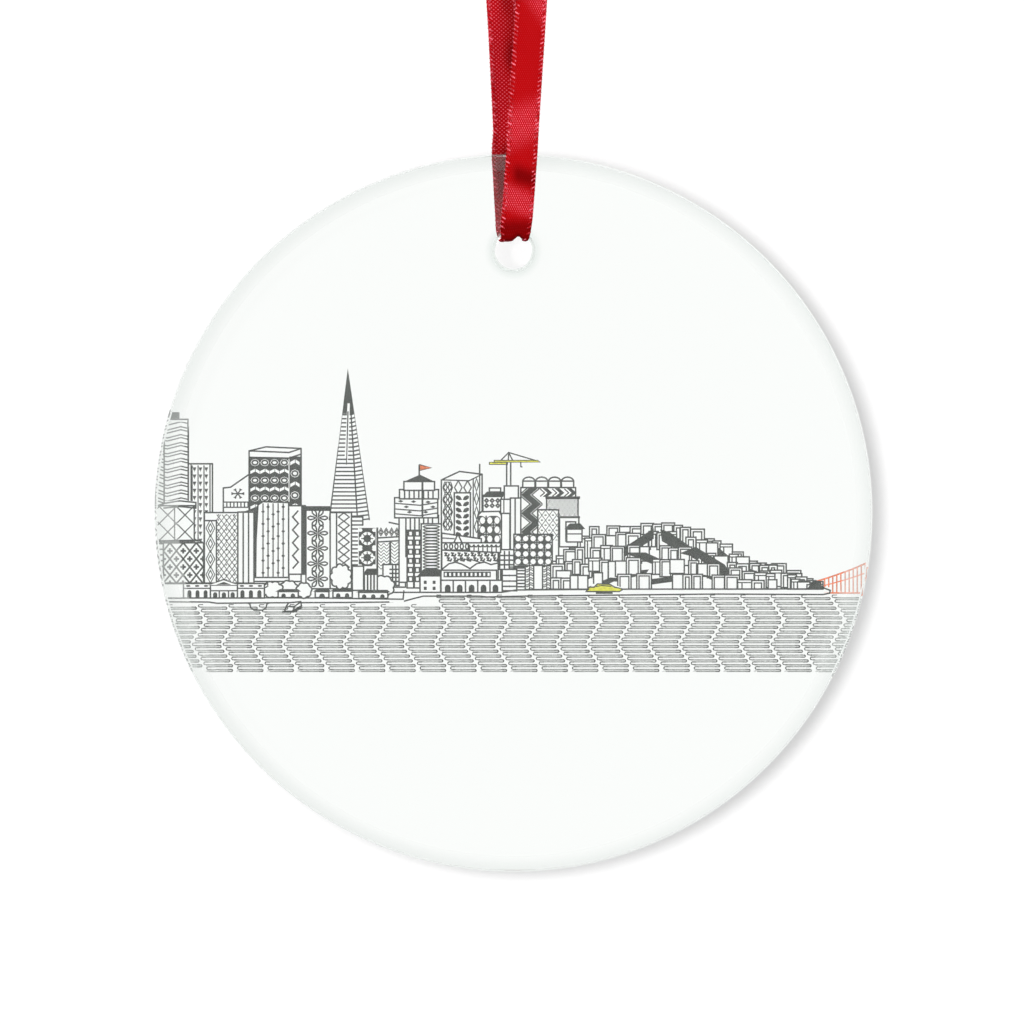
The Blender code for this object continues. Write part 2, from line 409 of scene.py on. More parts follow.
def satin_finish(name, pitch_across, pitch_along, sharpness, least, most, hanging=False):
    """Woven satin: staggered thread tops over a red ground, with slow bands of painted sheen and painted shade in the
    colour; the thread tops are painted as glints, brightest in the painted sheen.
    """
    material, start, shader = new_finish(name, Specular_IOR_Level=0.02, Specular_Tint=(1.0, 0.3, 0.35))
    uv = start.node("ShaderNodeUVMap", {"uv_map": "weave"})
    across = start.node("ShaderNodeSeparateXYZ", None, {0: uv}, out=0)
    along = start.node("ShaderNodeSeparateXYZ", None, {0: uv}, out=1)
    diagonal, counter = across / pitch_across + along / pitch_along, across / pitch_across - along / pitch_along
    tops = abs((diagonal * math.pi).cosine() * (counter * math.pi).cosine()) ** sharpness
    slow = start.node("ShaderNodeTexNoise", {"noise_dimensions": "2D"},
                      {"Vector": start.node("ShaderNodeMapping", None, {"Vector": uv, "Scale": (0.22, 0.085, 1)}),
                       "Scale": 1.0, "Detail": 1.5})
    fine = start.node("ShaderNodeTexNoise", {"noise_dimensions": "2D"}, {"Vector": uv, "Scale": 3.4, "Detail": 2.0})
    painted_sheen = slow.between(0.44, 0.68)
    painted_shade = 1 - slow.between(0.30, 0.55)
    if hanging:                      # the light lies across the hanging front run in three bands
        behind = along.between(31.0, 34.0)
        painted_sheen = (behind * painted_sheen + hump(along - 1.3 * across, -20, 1.2, 1.8)
                 + hump(along + 0.35 * across, 13.6, 18.4, 1.6) + hump(along - 0.35 * across, 24.1, 27.0, 0.8))
        painted_shade = (behind * painted_shade + hump(along - 0.3 * across, 21.4, 23.4, 0.9) * (across + 2.0).between(0.4, 1.8)
                 + hump(along, 28.0, 32.0, 0.9))
    # the ground colour holds painted shade and painted sheen: darker where shaded, brighter where the sheen lies
    ground = painted_shade.blend(painted_sheen.blend((0.37, 0, 0.0004), (0.42, 0.0002, 0.003)), (0.17, 0, 0.0002))
    # thread tops painted as pink glints, strongest in the painted sheen and dimmed in the painted shade
    strength = tops * (least + most * painted_sheen) * (1 - 0.7 * painted_shade) * (0.45 + 1.1 * fine)
    start.feed(shader.inputs["Base Color"], strength.blend(ground, (1.0, 0.20, 0.27)))
    start.feed(shader.inputs["Roughness"], 0.62 - 0.22 * painted_sheen)
    bump = start.node("ShaderNodeBump", None, {"Height": tops, "Strength": 0.5, "Distance": 0.03 * MM})
    start.feed(shader.inputs["Normal"], bump)
    return material


satin_face = satin_finish("red_satin", 0.27, 0.56, 3.0, 0.10, 0.62)
satin_hanging = satin_finish("red_satin_hanging", 0.27, 0.56, 3.0, 0.10, 0.62, hanging=True)
satin_reverse = satin_finish("red_satin_reverse", 0.545, 0.476, 3.4, 0.48, 0.10)
thread_finish, thread_start, thread_shader = new_finish("red_edge_thread", Roughness=0.4, Specular_IOR_Level=0.25, Specular_Tint=(1.0, 0.5, 0.55))
# the edge thread's colour is a random mottle between dark red and pink; the pink patches are painted glints on the
# loops
thread_place = thread_start.node("ShaderNodeTexCoord", out=3)
thread_noise = thread_start.node("ShaderNodeTexNoise", None, {"Vector": thread_place, "Scale": 2300.0, "Detail": 1.0})
thread_start.feed(thread_shader.inputs["Base Color"],
                  thread_noise.between(0.42, 0.68).blend((0.40, 0.001, 0.004), (0.95, 0.20, 0.27)))


def smooth_route(points, steps):
    """Points on a smooth curve through the route's own points."""
    padded = [points[0]] + list(points) + [points[-1]]
    out = []
    for index in range(1, len(padded) - 2):
        p0, p1, p2, p3 = padded[index - 1:index + 3]
        for step in range(steps):
            t = step / steps
            out.append(tuple(0.5 * (2 * b + (c - a) * t + (2 * a - 5 * b + 4 * c - d) * t * t
                                    + (3 * b - a - 3 * c + d) * t ** 3) for a, b, c, d in zip(p0, p1, p2, p3)))
    out.append(tuple(points[-1]))
    return out


def even_route(points, spacing):
    """The same curve at even steps of its length."""
    lengths = [0.0]
    for a, b in zip(points, points[1:]):
        lengths.append(lengths[-1] + math.dist(a[:3], b[:3]))
    count = max(2, round(lengths[-1] / spacing))
    out, at = [], 0
    for index in range(count + 1):
        wanted = lengths[-1] * index / count
        while at < len(points) - 2 and lengths[at + 1] < wanted:
            at += 1
        t = (wanted - lengths[at]) / max(1e-9, lengths[at + 1] - lengths[at])
        out.append(tuple(a + (b - a) * t for a, b in zip(points[at], points[at + 1])))
    return out


def strip_surface(route, curl=0.12, ripple=0.05):
    """Returns the place of the ribbon's surface for a station of the route and a distance across."""
    count = len(route)
    frames = []
    for index, (x, y, z, turn) in enumerate(route):
        before, after = route[max(0, index - 1)], route[min(count - 1, index + 1)]
        along = (Vector(after[:3]) - Vector(before[:3])).normalized()
        wide = Vector((math.cos(math.radians(turn)), math.sin(math.radians(turn)), 0))
        wide = (wide - along * wide.dot(along)).normalized()
        frames.append((Vector((x, y, z)), wide, along.cross(wide)))

    def surface(station, across):
        place, wide, out = frames[max(0, min(count - 1, station))]
        bend = curl * (across / HALF_WIDTH) ** 2 + ripple * math.sin(station * 0.11 + across * 0.9)
        return place + wide * across + out * bend
    return surface, count


STITCH_REACH, STITCH_LEAN, STITCH_RADIUS = 0.58, 0.62, 0.095


def edge_stitch(bm):
    """One thread turned round the ribbon's edge, from the front round to the back; x points outward."""
    lift, run = RIBBON_THICKNESS / 2 + 0.01, STITCH_REACH - RIBBON_THICKNESS / 2 - STITCH_RADIUS
    ring = bmesh.ops.create_circle(bm, segments=6, radius=STITCH_RADIUS,
                                   matrix=Matrix.Translation((0, 0, lift)) @ Matrix.Rotation(math.pi / 2, 4, "Y"))["verts"]
    last = ring + list({edge for vert in ring for edge in vert.link_edges})
    for shift, angle, steps in ((run, 0, 1), (0, math.pi, 4), (-run, 0, 1)):
        last = bmesh.ops.spin(bm, geom=last, cent=(run, 0, 0), axis=(0, 1, 0), dvec=(shift / steps, 0, 0), angle=angle,
                              steps=steps, use_merge=False)["geom_last"]
    found, stack = set(ring), list(ring)
    while stack:
        for edge in stack.pop().link_edges:
            fresh = set(edge.verts) - found
            found |= fresh
            stack += fresh
    faces = list({face for vert in found for face in vert.link_faces})
    bmesh.ops.recalc_face_normals(bm, faces=faces)
    for face in faces:
        face.material_index, face.smooth = 1, True
    return list(found)


def surface_out(surface, station):
    """Which way the ribbon's own front looks at a station."""
    along = surface(station + 1, 0) - surface(station - 1, 0)
    return along.cross(surface(station, 0.5) - surface(station, -0.5)).normalized()


def ribbon_strip(bm, surface, stations, along_start, spacing, columns=12, half=HALF_WIDTH, face_first=False):
    """Lays a woven strip over the surface, in millimetres, and loops its edge threads."""
    uv = bm.loops.layers.uv.get("weave") or bm.loops.layers.uv.new("weave")
    made = bmesh.ops.create_grid(bm, x_segments=stations - 1, y_segments=columns, size=1)["verts"]
    place = {}
    inner = half - 0.07
    for vert in made:
        station = round((vert.co.x + 1) / 2 * (stations - 1))
        across = vert.co.y * inner
        place[vert] = (across, station)
        vert.co = surface(station, across) + surface_out(surface, station) * RIBBON_THICKNESS / 2
    bm.normal_update()
    faces = {face for vert in made for face in vert.link_faces}
    for face in faces:
        for loop in face.loops:
            across, station = place[loop.vert]
            loop[uv].uv = (across, along_start + station * spacing)
    grown = bmesh.ops.solidify(bm, geom=list(faces), thickness=RIBBON_THICKNESS)
    for face in {item for item in grown["geom"] if isinstance(item, bmesh.types.BMFace)} | faces:
        face.material_index, face.smooth = (0 if (face in faces) == face_first else 2), True
    pattern = edge_stitch(bm)
    pattern_faces = list({face for vert in pattern for face in vert.link_faces})
    per_loop = LOOP_PITCH / spacing
    for side in (-1, 1):
        for index in range(int((stations - 1) / per_loop)):
            station = (index + 0.5) * per_loop
            base, t = int(station), station % 1
            edge = surface(base, side * half).lerp(surface(base + 1, side * half), t)
            root = surface(base, side * (half - STITCH_REACH)).lerp(surface(base + 1, side * (half - STITCH_REACH)), t)
            wide = (edge - root).normalized()
            along = (surface(base + 1, side * half) - surface(base - 1, side * half)).normalized()
            along = (along - wide * along.dot(wide)).normalized()
            out = wide.cross(along)
            lean = wide + along * (STITCH_LEAN if along.z > 0 else -STITCH_LEAN)
            matrix = Matrix(((lean.x, along.x, out.x, root.x), (lean.y, along.y, out.y, root.y),
                             (lean.z, along.z, out.z, root.z), (0, 0, 0, 1)))
            copy = bmesh.ops.duplicate(bm, geom=pattern + pattern_faces)["geom"]
            bmesh.ops.transform(bm, matrix=matrix, verts=[item for item in copy if isinstance(item, bmesh.types.BMVert)])
            if matrix.to_3x3().determinant() < 0:
                bmesh.ops.reverse_faces(bm, faces=[item for item in copy if isinstance(item, bmesh.types.BMFace)])
    bmesh.ops.delete(bm, geom=pattern, context="VERTS")


FRONT_ROUTE = [(1.20, -2.50, -47, 0), (2.17, -1.42, -32, 0), (2.62, -0.84, -24, 25), (2.98, -0.28, -16, 68),
               (3.15, 0, -9.5, 90), (3.05, 0, -6.2, 90), (2.5, 0, -3.2, 90), (1.5, 0, -1, 90), (0.8, 0, 0.5, 90), (0.4, 0, 1.8, 90)]
BACK_ROUTE = [(-0.60, 2.50, -47, 0), (-1.38, 1.42, -32, 0), (-2.08, 0.84, -24, 25), (-2.80, 0.28, -16, 68),
              (-3.15, 0, -9.5, 90), (-3.05, 0, -6.2, 90), (-2.5, 0, -3.2, 90), (-1.5, 0, -1, 90), (-0.8, 0, 0.5, 90), (-0.4, 0, 1.8, 90)]
STEP = 0.35


def cut_route(route, height):
    """The route's points below a height and above it; both halves hold the point at that height."""
    points = smooth_route(route, 60)
    first = next(index for index, point in enumerate(points) if point[2] > height)
    a, b = points[first - 1], points[first]
    share = (height - a[2]) / (b[2] - a[2])
    cut = tuple(low + (high - low) * share for low, high in zip(a, b))
    return points[:first] + [cut], [cut] + points[first:]


def above_seam(route):
    return cut_route(route, SEAM_Z - SEAM_LAP)[1]


def below_seam(route):
    return cut_route(route, SEAM_Z + SEAM_LAP)[0]


loop_route = above_seam(FRONT_ROUTE) + [(x, y, z, turn) for x, y, z, turn in reversed(above_seam(BACK_ROUTE))]
loop_route = even_route(loop_route, STEP)
bm = bmesh.new()
surface, stations = strip_surface(loop_route)
ribbon_strip(bm, surface, stations, 0.0, STEP)
bmesh.ops.scale(bm, vec=(MM, MM, MM), verts=bm.verts)
ribbon_loop = add_piece("ribbon_loop", bm, satin_face, thread_finish, satin_reverse)

# The lower ribbon: down the front, through the hole against its upper wall, up the back
front_low = below_seam(FRONT_ROUTE)          # from z -47 up to the seam
back_low = below_seam(BACK_ROUTE)


def bight_drop(across):
    """How far each thread hangs below the fold's highest point, where the ribbon lies over the hole's round wall."""
    return 0.66 * (1 - math.exp(-(across / 0.62) ** 2))


# x, y, z, share of full width, share of the bight's drop
turn_front = [(1.03, -2.50, -50, 1, 0), (0.82, -2.48, -53, 1, 0), (0.60, -2.46, -56, 1, 0), (0.44, -2.46, -58, 1, 0)]
fold = [(0.32, -2.50, -59.1, 0.98, 0.15), (0.25, -2.56, -59.6, 0.95, 0.5), (0.18, -2.52, -59.9, 0.91, 0.85),
        (0.10, -2.34, -60.08, 0.85, 1), (0.06, -1.9, -60.06, 0.80, 1), (0.03, -1.2, -59.98, 0.78, 1)]
fold += [(0, 0, -59.95, 0.78, 1)] + [(-x, -y, z, wide, drop) for x, y, z, wide, drop in reversed(fold)]
middle = turn_front + fold + [(-x * 0.75, -y, z, wide, drop) for x, y, z, wide, drop in reversed(turn_front)]
front_run, back_run = [[(x, y, z, 1, 0) for x, y, z, _ in run] for run in (reversed(front_low), back_low)]
middle = smooth_route(front_run[-1:] + middle + back_run[:1], 12)
sling_route = even_route(front_run[:-1] + middle + back_run[1:], 0.3)


def sling_surface(station, across):
    x, y, z, wide, drop = sling_route[max(0, min(len(sling_route) - 1, station))]
    bend = 0.10 * (across / HALF_WIDTH) ** 2 * (1 - drop) * (1 if y < 0 else -1)
    ripple = 0.05 * math.sin(station * 0.09 + across * 0.9) * (1 - drop)
    return Vector((x + across * wide, y + bend + ripple, z - bight_drop(across - 0.65 - 0.05 * y) * drop))


bm = bmesh.new()
ribbon_strip(bm, sling_surface, len(sling_route), 0.0, 0.3, face_first=True)
bmesh.ops.scale(bm, vec=(MM, MM, MM), verts=bm.verts)
ribbon_sling = add_piece("ribbon_sling", bm, satin_hanging, thread_finish, satin_reverse)


def route_length(route):
    return sum(math.dist(a[:3], b[:3]) for a, b in zip(route, route[1:])) * MM


def metres(route, step=4):
    picked = list(route[::step])
    if picked[-1] != route[-1]:
        picked.append(route[-1])
    return [tuple(v * MM for v in point[:3]) for point in picked]


# ---------------------------------------------------------------- knot and tails
def tail_strip(name, sign):
    route = [(sign * x, sign * y, z, turn) for x, y, z, turn in
             [(0.7, 0.2, 3.6, 80), (1.10, 0.3, 5.2, 75), (1.90, 0.5, 7.6, 60), (3.10, 0.9, 10.6, 50), (4.50, 1.0, 13.0, 45)]]
    route = even_route(smooth_route(route, 20), STEP)
    surface, count = strip_surface(route, curl=0.25)
    bm = bmesh.new()
    ribbon_strip(bm, surface, count, 3.0, STEP)
    bmesh.ops.scale(bm, vec=(MM, MM, MM), verts=bm.verts)
    return add_piece(name, bm, satin_face, thread_finish, satin_reverse)


tail_right = tail_strip("tail_right", 1)
tail_left = tail_strip("tail_left", -1)

KNOT_CENTRE = Vector((0, 0, 2.7))


def knot_piece():
    """An overhand knot: the satin winds round itself over a crumpled core."""
    bm = bmesh.new()
    bm.loops.layers.uv.new("weave")
    turns = []
    for index in range(97):
        angle = TAU * index / 96
        x = math.sin(angle) + 1.6 * math.sin(2 * angle)
        z = math.cos(angle) - 1.6 * math.cos(2 * angle)
        y = -math.sin(3 * angle)
        turns.append(Vector((x * 0.88, y * 1.35, z * 0.66)))
    count = len(turns)

    def surface(station, across):
        station = station % (count - 1)
        place = turns[station]
        along = (turns[(station + 1) % (count - 1)] - turns[(station - 1) % (count - 1)]).normalized()
        outward = Vector((place.x, place.y * 1.4, place.z)).normalized()
        wide = along.cross(outward).normalized()
        out = wide.cross(along)
        squeeze = 0.52 + 0.10 * math.sin(station * 0.35)
        pleat = 0.14 * math.sin(across * 3.1 + station * 0.05)
        return KNOT_CENTRE + place + wide * across * squeeze + out * (pleat - 0.22 * (across / HALF_WIDTH) ** 2)
    ribbon_strip(bm, surface, count, 0.0, 0.3, columns=14)
    core = bmesh.ops.create_icosphere(bm, subdivisions=3, radius=1.0,
                                      matrix=Matrix.Translation(KNOT_CENTRE) @ Matrix.Diagonal((2.2, 1.5, 2.0, 1)))["verts"]
    for face in {face for vert in core for face in vert.link_faces}:
        face.material_index, face.smooth = 0, True
    bmesh.ops.scale(bm, vec=(MM, MM, MM), verts=bm.verts)
    return add_piece("knot", bm, satin_face, thread_finish, satin_face)


knot = knot_piece()

for piece in (ribbon_loop, ribbon_sling, knot, tail_right, tail_left):
    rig.slot(piece, "ribbon")
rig.ride(knot, "hang_loop")
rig.ride(tail_right, "hang_loop")
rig.ride(tail_left, "hang_loop")
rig.replaces(knot, "ribbon_knot")
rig.replaces(tail_right, "ribbon_tail_right")
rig.replaces(tail_left, "ribbon_tail_left")
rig.blend(ribbon_loop, "hang_loop", "ribbon_middle", start=(0, 0, -0.010), end=(0, 0, -0.029))
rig.replaces(ribbon_loop, "loop_arm_right", "loop_arm_left")
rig.blend(ribbon_sling, "ribbon_middle", "ribbon_lower", start=(0, 0, -0.038), end=(0, 0, -0.048))
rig.replaces(ribbon_sling, "middle_run_front", "middle_run_back", "lower_run_front", "lower_run_back", "ribbon_bight")
loop_path, sling_path = metres(loop_route, 3), metres(sling_route, 3)
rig.cord(ribbon_loop, exit=loop_path[0], length=route_length(loop_route), diameter=2 * HALF_WIDTH * MM,
        far_end="object", stiffness="limp", lay="taut", path=loop_path, with_pieces=[knot, tail_right, tail_left])
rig.cord(ribbon_sling, exit=sling_path[0], length=route_length(sling_route), diameter=2 * HALF_WIDTH * MM,
        far_end="object", stiffness="limp", lay="taut", path=sling_path)


# ---------------------------------------------------------------- clear glass disc
def glass_shade(start):
    """How near a point is to the ground rim and to the hole, each from 0 to 1: there the glass's faint green deepens,
    partly its own green and partly painted shade.
    """
    place = start.node("ShaderNodeTexCoord", out=3)
    x = start.node("ShaderNodeSeparateXYZ", None, {0: place}, out=0)
    z = start.node("ShaderNodeSeparateXYZ", None, {0: place}, out=2)
    disc_z, hole_z = z - DISC_Z * MM, z - HOLE_Z * MM
    from_centre = (x * x + disc_z * disc_z) ** 0.5
    from_hole = (x * x + hole_z * hole_z) ** 0.5
    rim = from_centre.between(42.2 * MM, 44.4 * MM)
    hole = 1 - from_hole.between((HOLE_RADIUS - 0.2) * MM, (HOLE_RADIUS + 1.6) * MM)
    return rim, hole


def glass_finish(name, passing, transmission, tint, rim_tint_and_shade, hole_tint_and_shade, roughness=0.0):
    material, start, shader = new_finish(name, Roughness=roughness, IOR=1.5, Transmission_Weight=transmission)
    rim, hole = glass_shade(start)
    # toward the rim and round the hole the colour darkens: partly the glass's green, partly painted shade
    colour = hole.blend(rim.blend(tint, rim_tint_and_shade), hole_tint_and_shade)
    start.feed(shader.inputs["Base Color"], colour)
    clear_to_shadows(material, start, shader, passing)
    return material


TINT = (0.975, 0.995, 0.978)
clear_glass = glass_finish("clear_glass", (1, 1, 1), 1.0, TINT, (0.93, 0.96, 0.94), (0.80, 0.85, 0.82))
ground_rim = glass_finish("ground_rim", (0.10, 0.11, 0.105), 0.95, TINT, (0.87, 0.90, 0.88), (0.8, 0.85, 0.82), 0.05)

RIM_STEPS, HOLE_STEPS = 256, 64
bm = bmesh.new()


def turned_band(profile, centre_z, steps, band_materials):
    """Turns a profile of (radius, depth) about the disc's or the hole's own axis, one band at a time."""
    for (first, second), material_index in zip(zip(profile, profile[1:]), band_materials):
        ends = [bm.verts.new((radius, depth, centre_z)) for radius, depth in (first, second)]
        before = set(bm.faces)
        bmesh.ops.spin(bm, geom=ends + [bm.edges.new(ends)], cent=(0, 0, centre_z), axis=(0, 1, 0), dvec=(0, 0, 0),
                       angle=TAU, steps=steps, use_merge=True)
        for face in set(bm.faces) - before:
            face.smooth, face.material_index = True, material_index


slope = BEVEL_DEPTH / BEVEL_WIDTH
turned_band(
    [(BEVEL_RADIUS, FACE_Y), (DISC_RADIUS - ARRIS, FACE_Y + slope * (BEVEL_WIDTH - ARRIS)), (DISC_RADIUS, FACE_Y + BEVEL_DEPTH + ARRIS),
     (DISC_RADIUS, BACK_Y - ARRIS), (DISC_RADIUS - ARRIS, BACK_Y), (SHADE_RADIUS, BACK_Y)],
    DISC_Z, RIM_STEPS, [0, 1, 1, 1, 1])
turned_band(
    [(HOLE_RADIUS + HOLE_SHADE, FACE_Y), (HOLE_RADIUS + ARRIS, FACE_Y), (HOLE_RADIUS, FACE_Y + ARRIS),
     (HOLE_RADIUS, BACK_Y - ARRIS), (HOLE_RADIUS + ARRIS, BACK_Y), (HOLE_RADIUS + HOLE_SHADE, BACK_Y)],
    HOLE_Z, HOLE_STEPS, [2, 2, 2, 2, 2])
bmesh.ops.remove_doubles(bm, verts=bm.verts, dist=1e-4)
for depth in (FACE_Y, BACK_Y):
    open_edges = [edge for edge in bm.edges if edge.is_boundary and abs(edge.verts[0].co.y - depth) < 1e-3]
    bmesh.ops.triangle_fill(bm, edges=open_edges, use_beauty=True)
for edge in bm.edges:
    if edge.calc_face_angle(0) > math.radians(6):
        edge.smooth = False
bmesh.ops.recalc_face_normals(bm, faces=bm.faces)
bmesh.ops.scale(bm, vec=(MM, MM, MM), verts=bm.verts)
hole_edge = glass_finish("hole_edge", (0.62, 0.64, 0.63), 0.8, TINT, (0.93, 0.96, 0.94), (0.80, 0.85, 0.82), 0.05)
glass_plate = add_piece("glass_plate", bm, clear_glass, ground_rim, hole_edge)
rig.ride(glass_plate, "disc")
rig.replaces(glass_plate, "glass_disc")
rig.slot(glass_plate, "glass")
wall_key.light_linking.blocker_collection = group_of("shadow_casters", glass_plate)
past_the_glass = group_of("past_the_glass", glass_plate, "EXCLUDE")
for lamp in room_lamps:
    lamp.light_linking.blocker_collection = past_the_glass


# ---------------------------------------------------------------- printed harbour town
# Drawn in millimetres from the middle of the disc, far things first; a nearer thing clears what it hides.
LINE = 0.155
PRINT_RADIUS = DISC_RADIUS - 0.35


def split(shape, a, b):
    """The parts of a convex shape on the right and on the left of the line from a to b."""
    right, left = [], []
    sides = [(b[0] - a[0]) * (p[1] - a[1]) - (b[1] - a[1]) * (p[0] - a[0]) for p in shape]
    for index, (p, side) in enumerate(zip(shape, sides)):
        q, other = shape[index - 1], sides[index - 1]
        if (side > 0) != (other > 0):
            t = other / (other - side)
            crossing = (q[0] + (p[0] - q[0]) * t, q[1] + (p[1] - q[1]) * t)
            right.append(crossing)
            left.append(crossing)
        (left if side > 0 else right).append(p)
    return right if len(right) > 2 else None, left if len(left) > 2 else None


def extent(points):
    xs, zs = [p[0] for p in points], [p[1] for p in points]
    return min(xs), min(zs), max(xs), max(zs)


def area_of(points):
    return sum(a[0] * b[1] - b[0] * a[1] for a, b in zip(points, points[1:] + points[:1])) / 2


class Plate:
    """The printing plate: convex patches of ink."""

    def __init__(self):
        self.patches = []

    def add(self, ink, points):
        area = area_of(points)
        if abs(area) < 1e-5:
            return
        if area < 0:
            points = points[::-1]
        self.patches.append((ink, points, extent(points)))

    def cut(self, window, start, keep_inside):
        if area_of(window) < 0:
            window = window[::-1]
        x0, z0, x1, z1 = extent(window)
        kept = self.patches[:start]
        for patch in self.patches[start:]:
            ink, points, (a0, b0, a1, b1) = patch
            if a0 >= x1 or a1 <= x0 or b0 >= z1 or b1 <= z0:
                if not keep_inside:
                    kept.append(patch)
                continue
            rest = points
            for a, b in zip(window, window[1:] + window[:1]):
                outside, rest = split(rest, a, b)
                if outside and not keep_inside:
                    kept.append((ink, outside, extent(outside)))
                if not rest:
                    break
            if rest and keep_inside:
                kept.append((ink, rest, extent(rest)))
        self.patches = kept

    def clear(self, window):
        self.cut(list(window), 0, False)

    def line(self, points, width=LINE, ink="outline", closed=False):
        width *= 1.22 if ink == "outline" else 1
        points = [p for p, q in zip(points, [None] + list(points[:-1])) if q is None or math.dist(p, q) > 1e-6]
        count = len(points)
        steps = [(b[0] - a[0], b[1] - a[1]) for a, b in zip(points, points[1:] + points[:1])]
        normals = [(-dz / math.hypot(dx, dz), dx / math.hypot(dx, dz)) for dx, dz in steps]
        sides = []
        for index, (x, z) in enumerate(points):
            before, after = normals[index - 1], normals[index]
            if not closed and index in (0, count - 1):
                before = after = normals[0] if index == 0 else normals[count - 2]
            share = 1 + before[0] * after[0] + before[1] * after[1]
            reach = width / 2 / max(share, 0.35)
            mx, mz = (before[0] + after[0]) * reach, (before[1] + after[1]) * reach
            sides.append(((x + mx, z + mz), (x - mx, z - mz)))
        for index in range(count if closed else count - 1):
            (l0, r0), (l1, r1) = sides[index], sides[(index + 1) % count]
            self.add(ink, [r0, r1, l1, l0])

    def box(self, x0, z0, x1, z1, width=LINE):
        corners = [(x0, z0), (x1, z0), (x1, z1), (x0, z1)]
        self.clear(corners)
        self.line(corners, width, closed=True)

    def face(self, corners, width=LINE):
        self.clear(corners)
        self.line(list(corners), width, closed=True)

    def solid(self, points, ink="outline"):
        self.add(ink, list(points))


plate = Plate()


def arc(x, z, rx, rz, start=0.0, end=360.0, steps=10):
    closed = abs(end - start) >= 360
    count = steps if closed else steps + 1
    return [(x + rx * math.cos(math.radians(start + (end - start) * i / steps)),
             z + rz * math.sin(math.radians(start + (end - start) * i / steps))) for i in range(count)]


def panel(x0, z0, x1, z1, pattern, *values):
    """Fills a panel with a pattern and trims what runs over its edges."""
    start = len(plate.patches)
    pattern(x0, z0, x1, z1, *values)
    plate.cut([(x0, z0), (x1, z0), (x1, z1), (x0, z1)], start, True)


def steps_between(low, high, pitch):
    count = max(1, round((high - low) / pitch))
    return [low + (high - low) * index / count for index in range(count + 1)]


def bands(x0, z0, x1, z1, pitch, width=LINE):
    for z in steps_between(z0, z1, pitch)[1:-1]:
        plate.line([(x0, z), (x1, z)], width)


def uprights(x0, z0, x1, z1, pitch, width=LINE):
    for x in steps_between(x0, x1, pitch)[1:-1]:
        plate.line([(x, z0), (x, z1)], width)


def grid(x0, z0, x1, z1, across, up):
    bands(x0, z0, x1, z1, up)
    uprights(x0, z0, x1, z1, across)


def rafters(x0, z0, x1, z1, pitch, rise, width=0.13):
    """Rows of roof-shaped lines, in pairs."""
    wide = x1 - x0
    z = z0 - rise
    while z < z1:
        for lift in (0, pitch * 0.38):
            plate.line([(x0, z + lift + rise * 0.15), (x0 + wide * 0.14, z + lift), (x0 + wide * 0.7, z + rise + lift),
                        (x1, z + lift + rise * 0.5)], width)
        z += pitch


def pennants(x0, z0, x1, z1, across, up):
    """Columns of small dark hooks."""
    for x in steps_between(x0, x1, across)[:-1]:
        plate.line([(x + across * 0.12, z0), (x + across * 0.12, z1)], 0.12)
        for z in steps_between(z0, z1, up)[:-1]:
            plate.solid([(x + across * 0.25, z + up * 0.75), (x + across * 0.85, z + up * 0.75), (x + across * 0.35, z + up * 0.3)])
            plate.solid([(x + across * 0.45, z + up * 0.45), (x + across * 0.85, z + up * 0.75), (x + across * 0.5, z + up * 0.05)])


def trellis(x0, z0, x1, z1, across, up, width=0.13, crosses=False, dots=False):
    """Crossing diagonals, with a plus or a dot in each diamond."""
    run = (z1 - z0) * across / up
    back = math.ceil(run / across) * across
    for index in range(int((x1 - x0 + back) / across) + 2):
        start = x0 + index * across
        plate.line([(start, z0), (start - run, z1)], width)
        plate.line([(start - back, z0), (start - back + run, z1)], width)
    rows = int((z1 - z0) / (up / 2)) + 1
    for row in range(rows):
        for column in range(int((x1 - x0) / across) + 2):
            x, z = x0 + (column + 0.5 * ((row + 1) % 2)) * across, z0 + row * up / 2
            if crosses:
                plate.line([(x - 0.33, z), (x + 0.33, z)], 0.2)
                plate.line([(x, z - 0.33), (x, z + 0.33)], 0.2)
            if dots:
                plate.solid(arc(x, z, 0.17, 0.11, steps=6), "wash_dark")


def lozenges(x0, z0, x1, z1, across, up, fill=False, width=0.13):
    for x in steps_between(x0, x1, across)[:-1]:
        for z in steps_between(z0, z1, up)[:-1]:
            cx, cz = x + across / 2, z + up / 2
            diamond = [(cx, cz - up / 2), (cx + across * 0.42, cz), (cx, cz + up / 2), (cx - across * 0.42, cz)]
            plate.line(diamond, width, closed=True)
            if fill:
                plate.line([(cx + (px - cx) * 0.5, cz + (pz - cz) * 0.5) for px, pz in diamond], 0.1, closed=True)


def blossoms(x0, z0, x1, z1, up, petals=6):
    cx = (x0 + x1) / 2
    radius = (x1 - x0) * 0.48
    for z in steps_between(z0, z1, up)[:-1]:
        for index in range(petals):
            angle = TAU * (index + 0.0) / petals
            petal = []
            for t, w in ((0.18, 0.0), (0.45, 0.13), (0.72, 0.19), (0.92, 0.1), (1.0, 0.0), (0.92, -0.1), (0.72, -0.19), (0.45, -0.13)):
                px, pz = radius * t, radius * w
                petal.append((cx + px * math.cos(angle) - pz * math.sin(angle),
                              z + up / 2 + (px * math.sin(angle) + pz * math.cos(angle)) * 0.92))
            plate.line(petal, 0.15, closed=True)


def beads(x0, z0, x1, z1, across, up):
    for index, x in enumerate(steps_between(x0, x1, across)[1:-1]):
        plate.line([(x, z0), (x, z1)], 0.13)
        for z in steps_between(z0, z1, up)[:-1]:
            cz = z + up * (0.3 + 0.37 * (index % 3) % 1)
            plate.solid([(x, cz - 0.24), (x + 0.22, cz), (x, cz + 0.24), (x - 0.22, cz)])


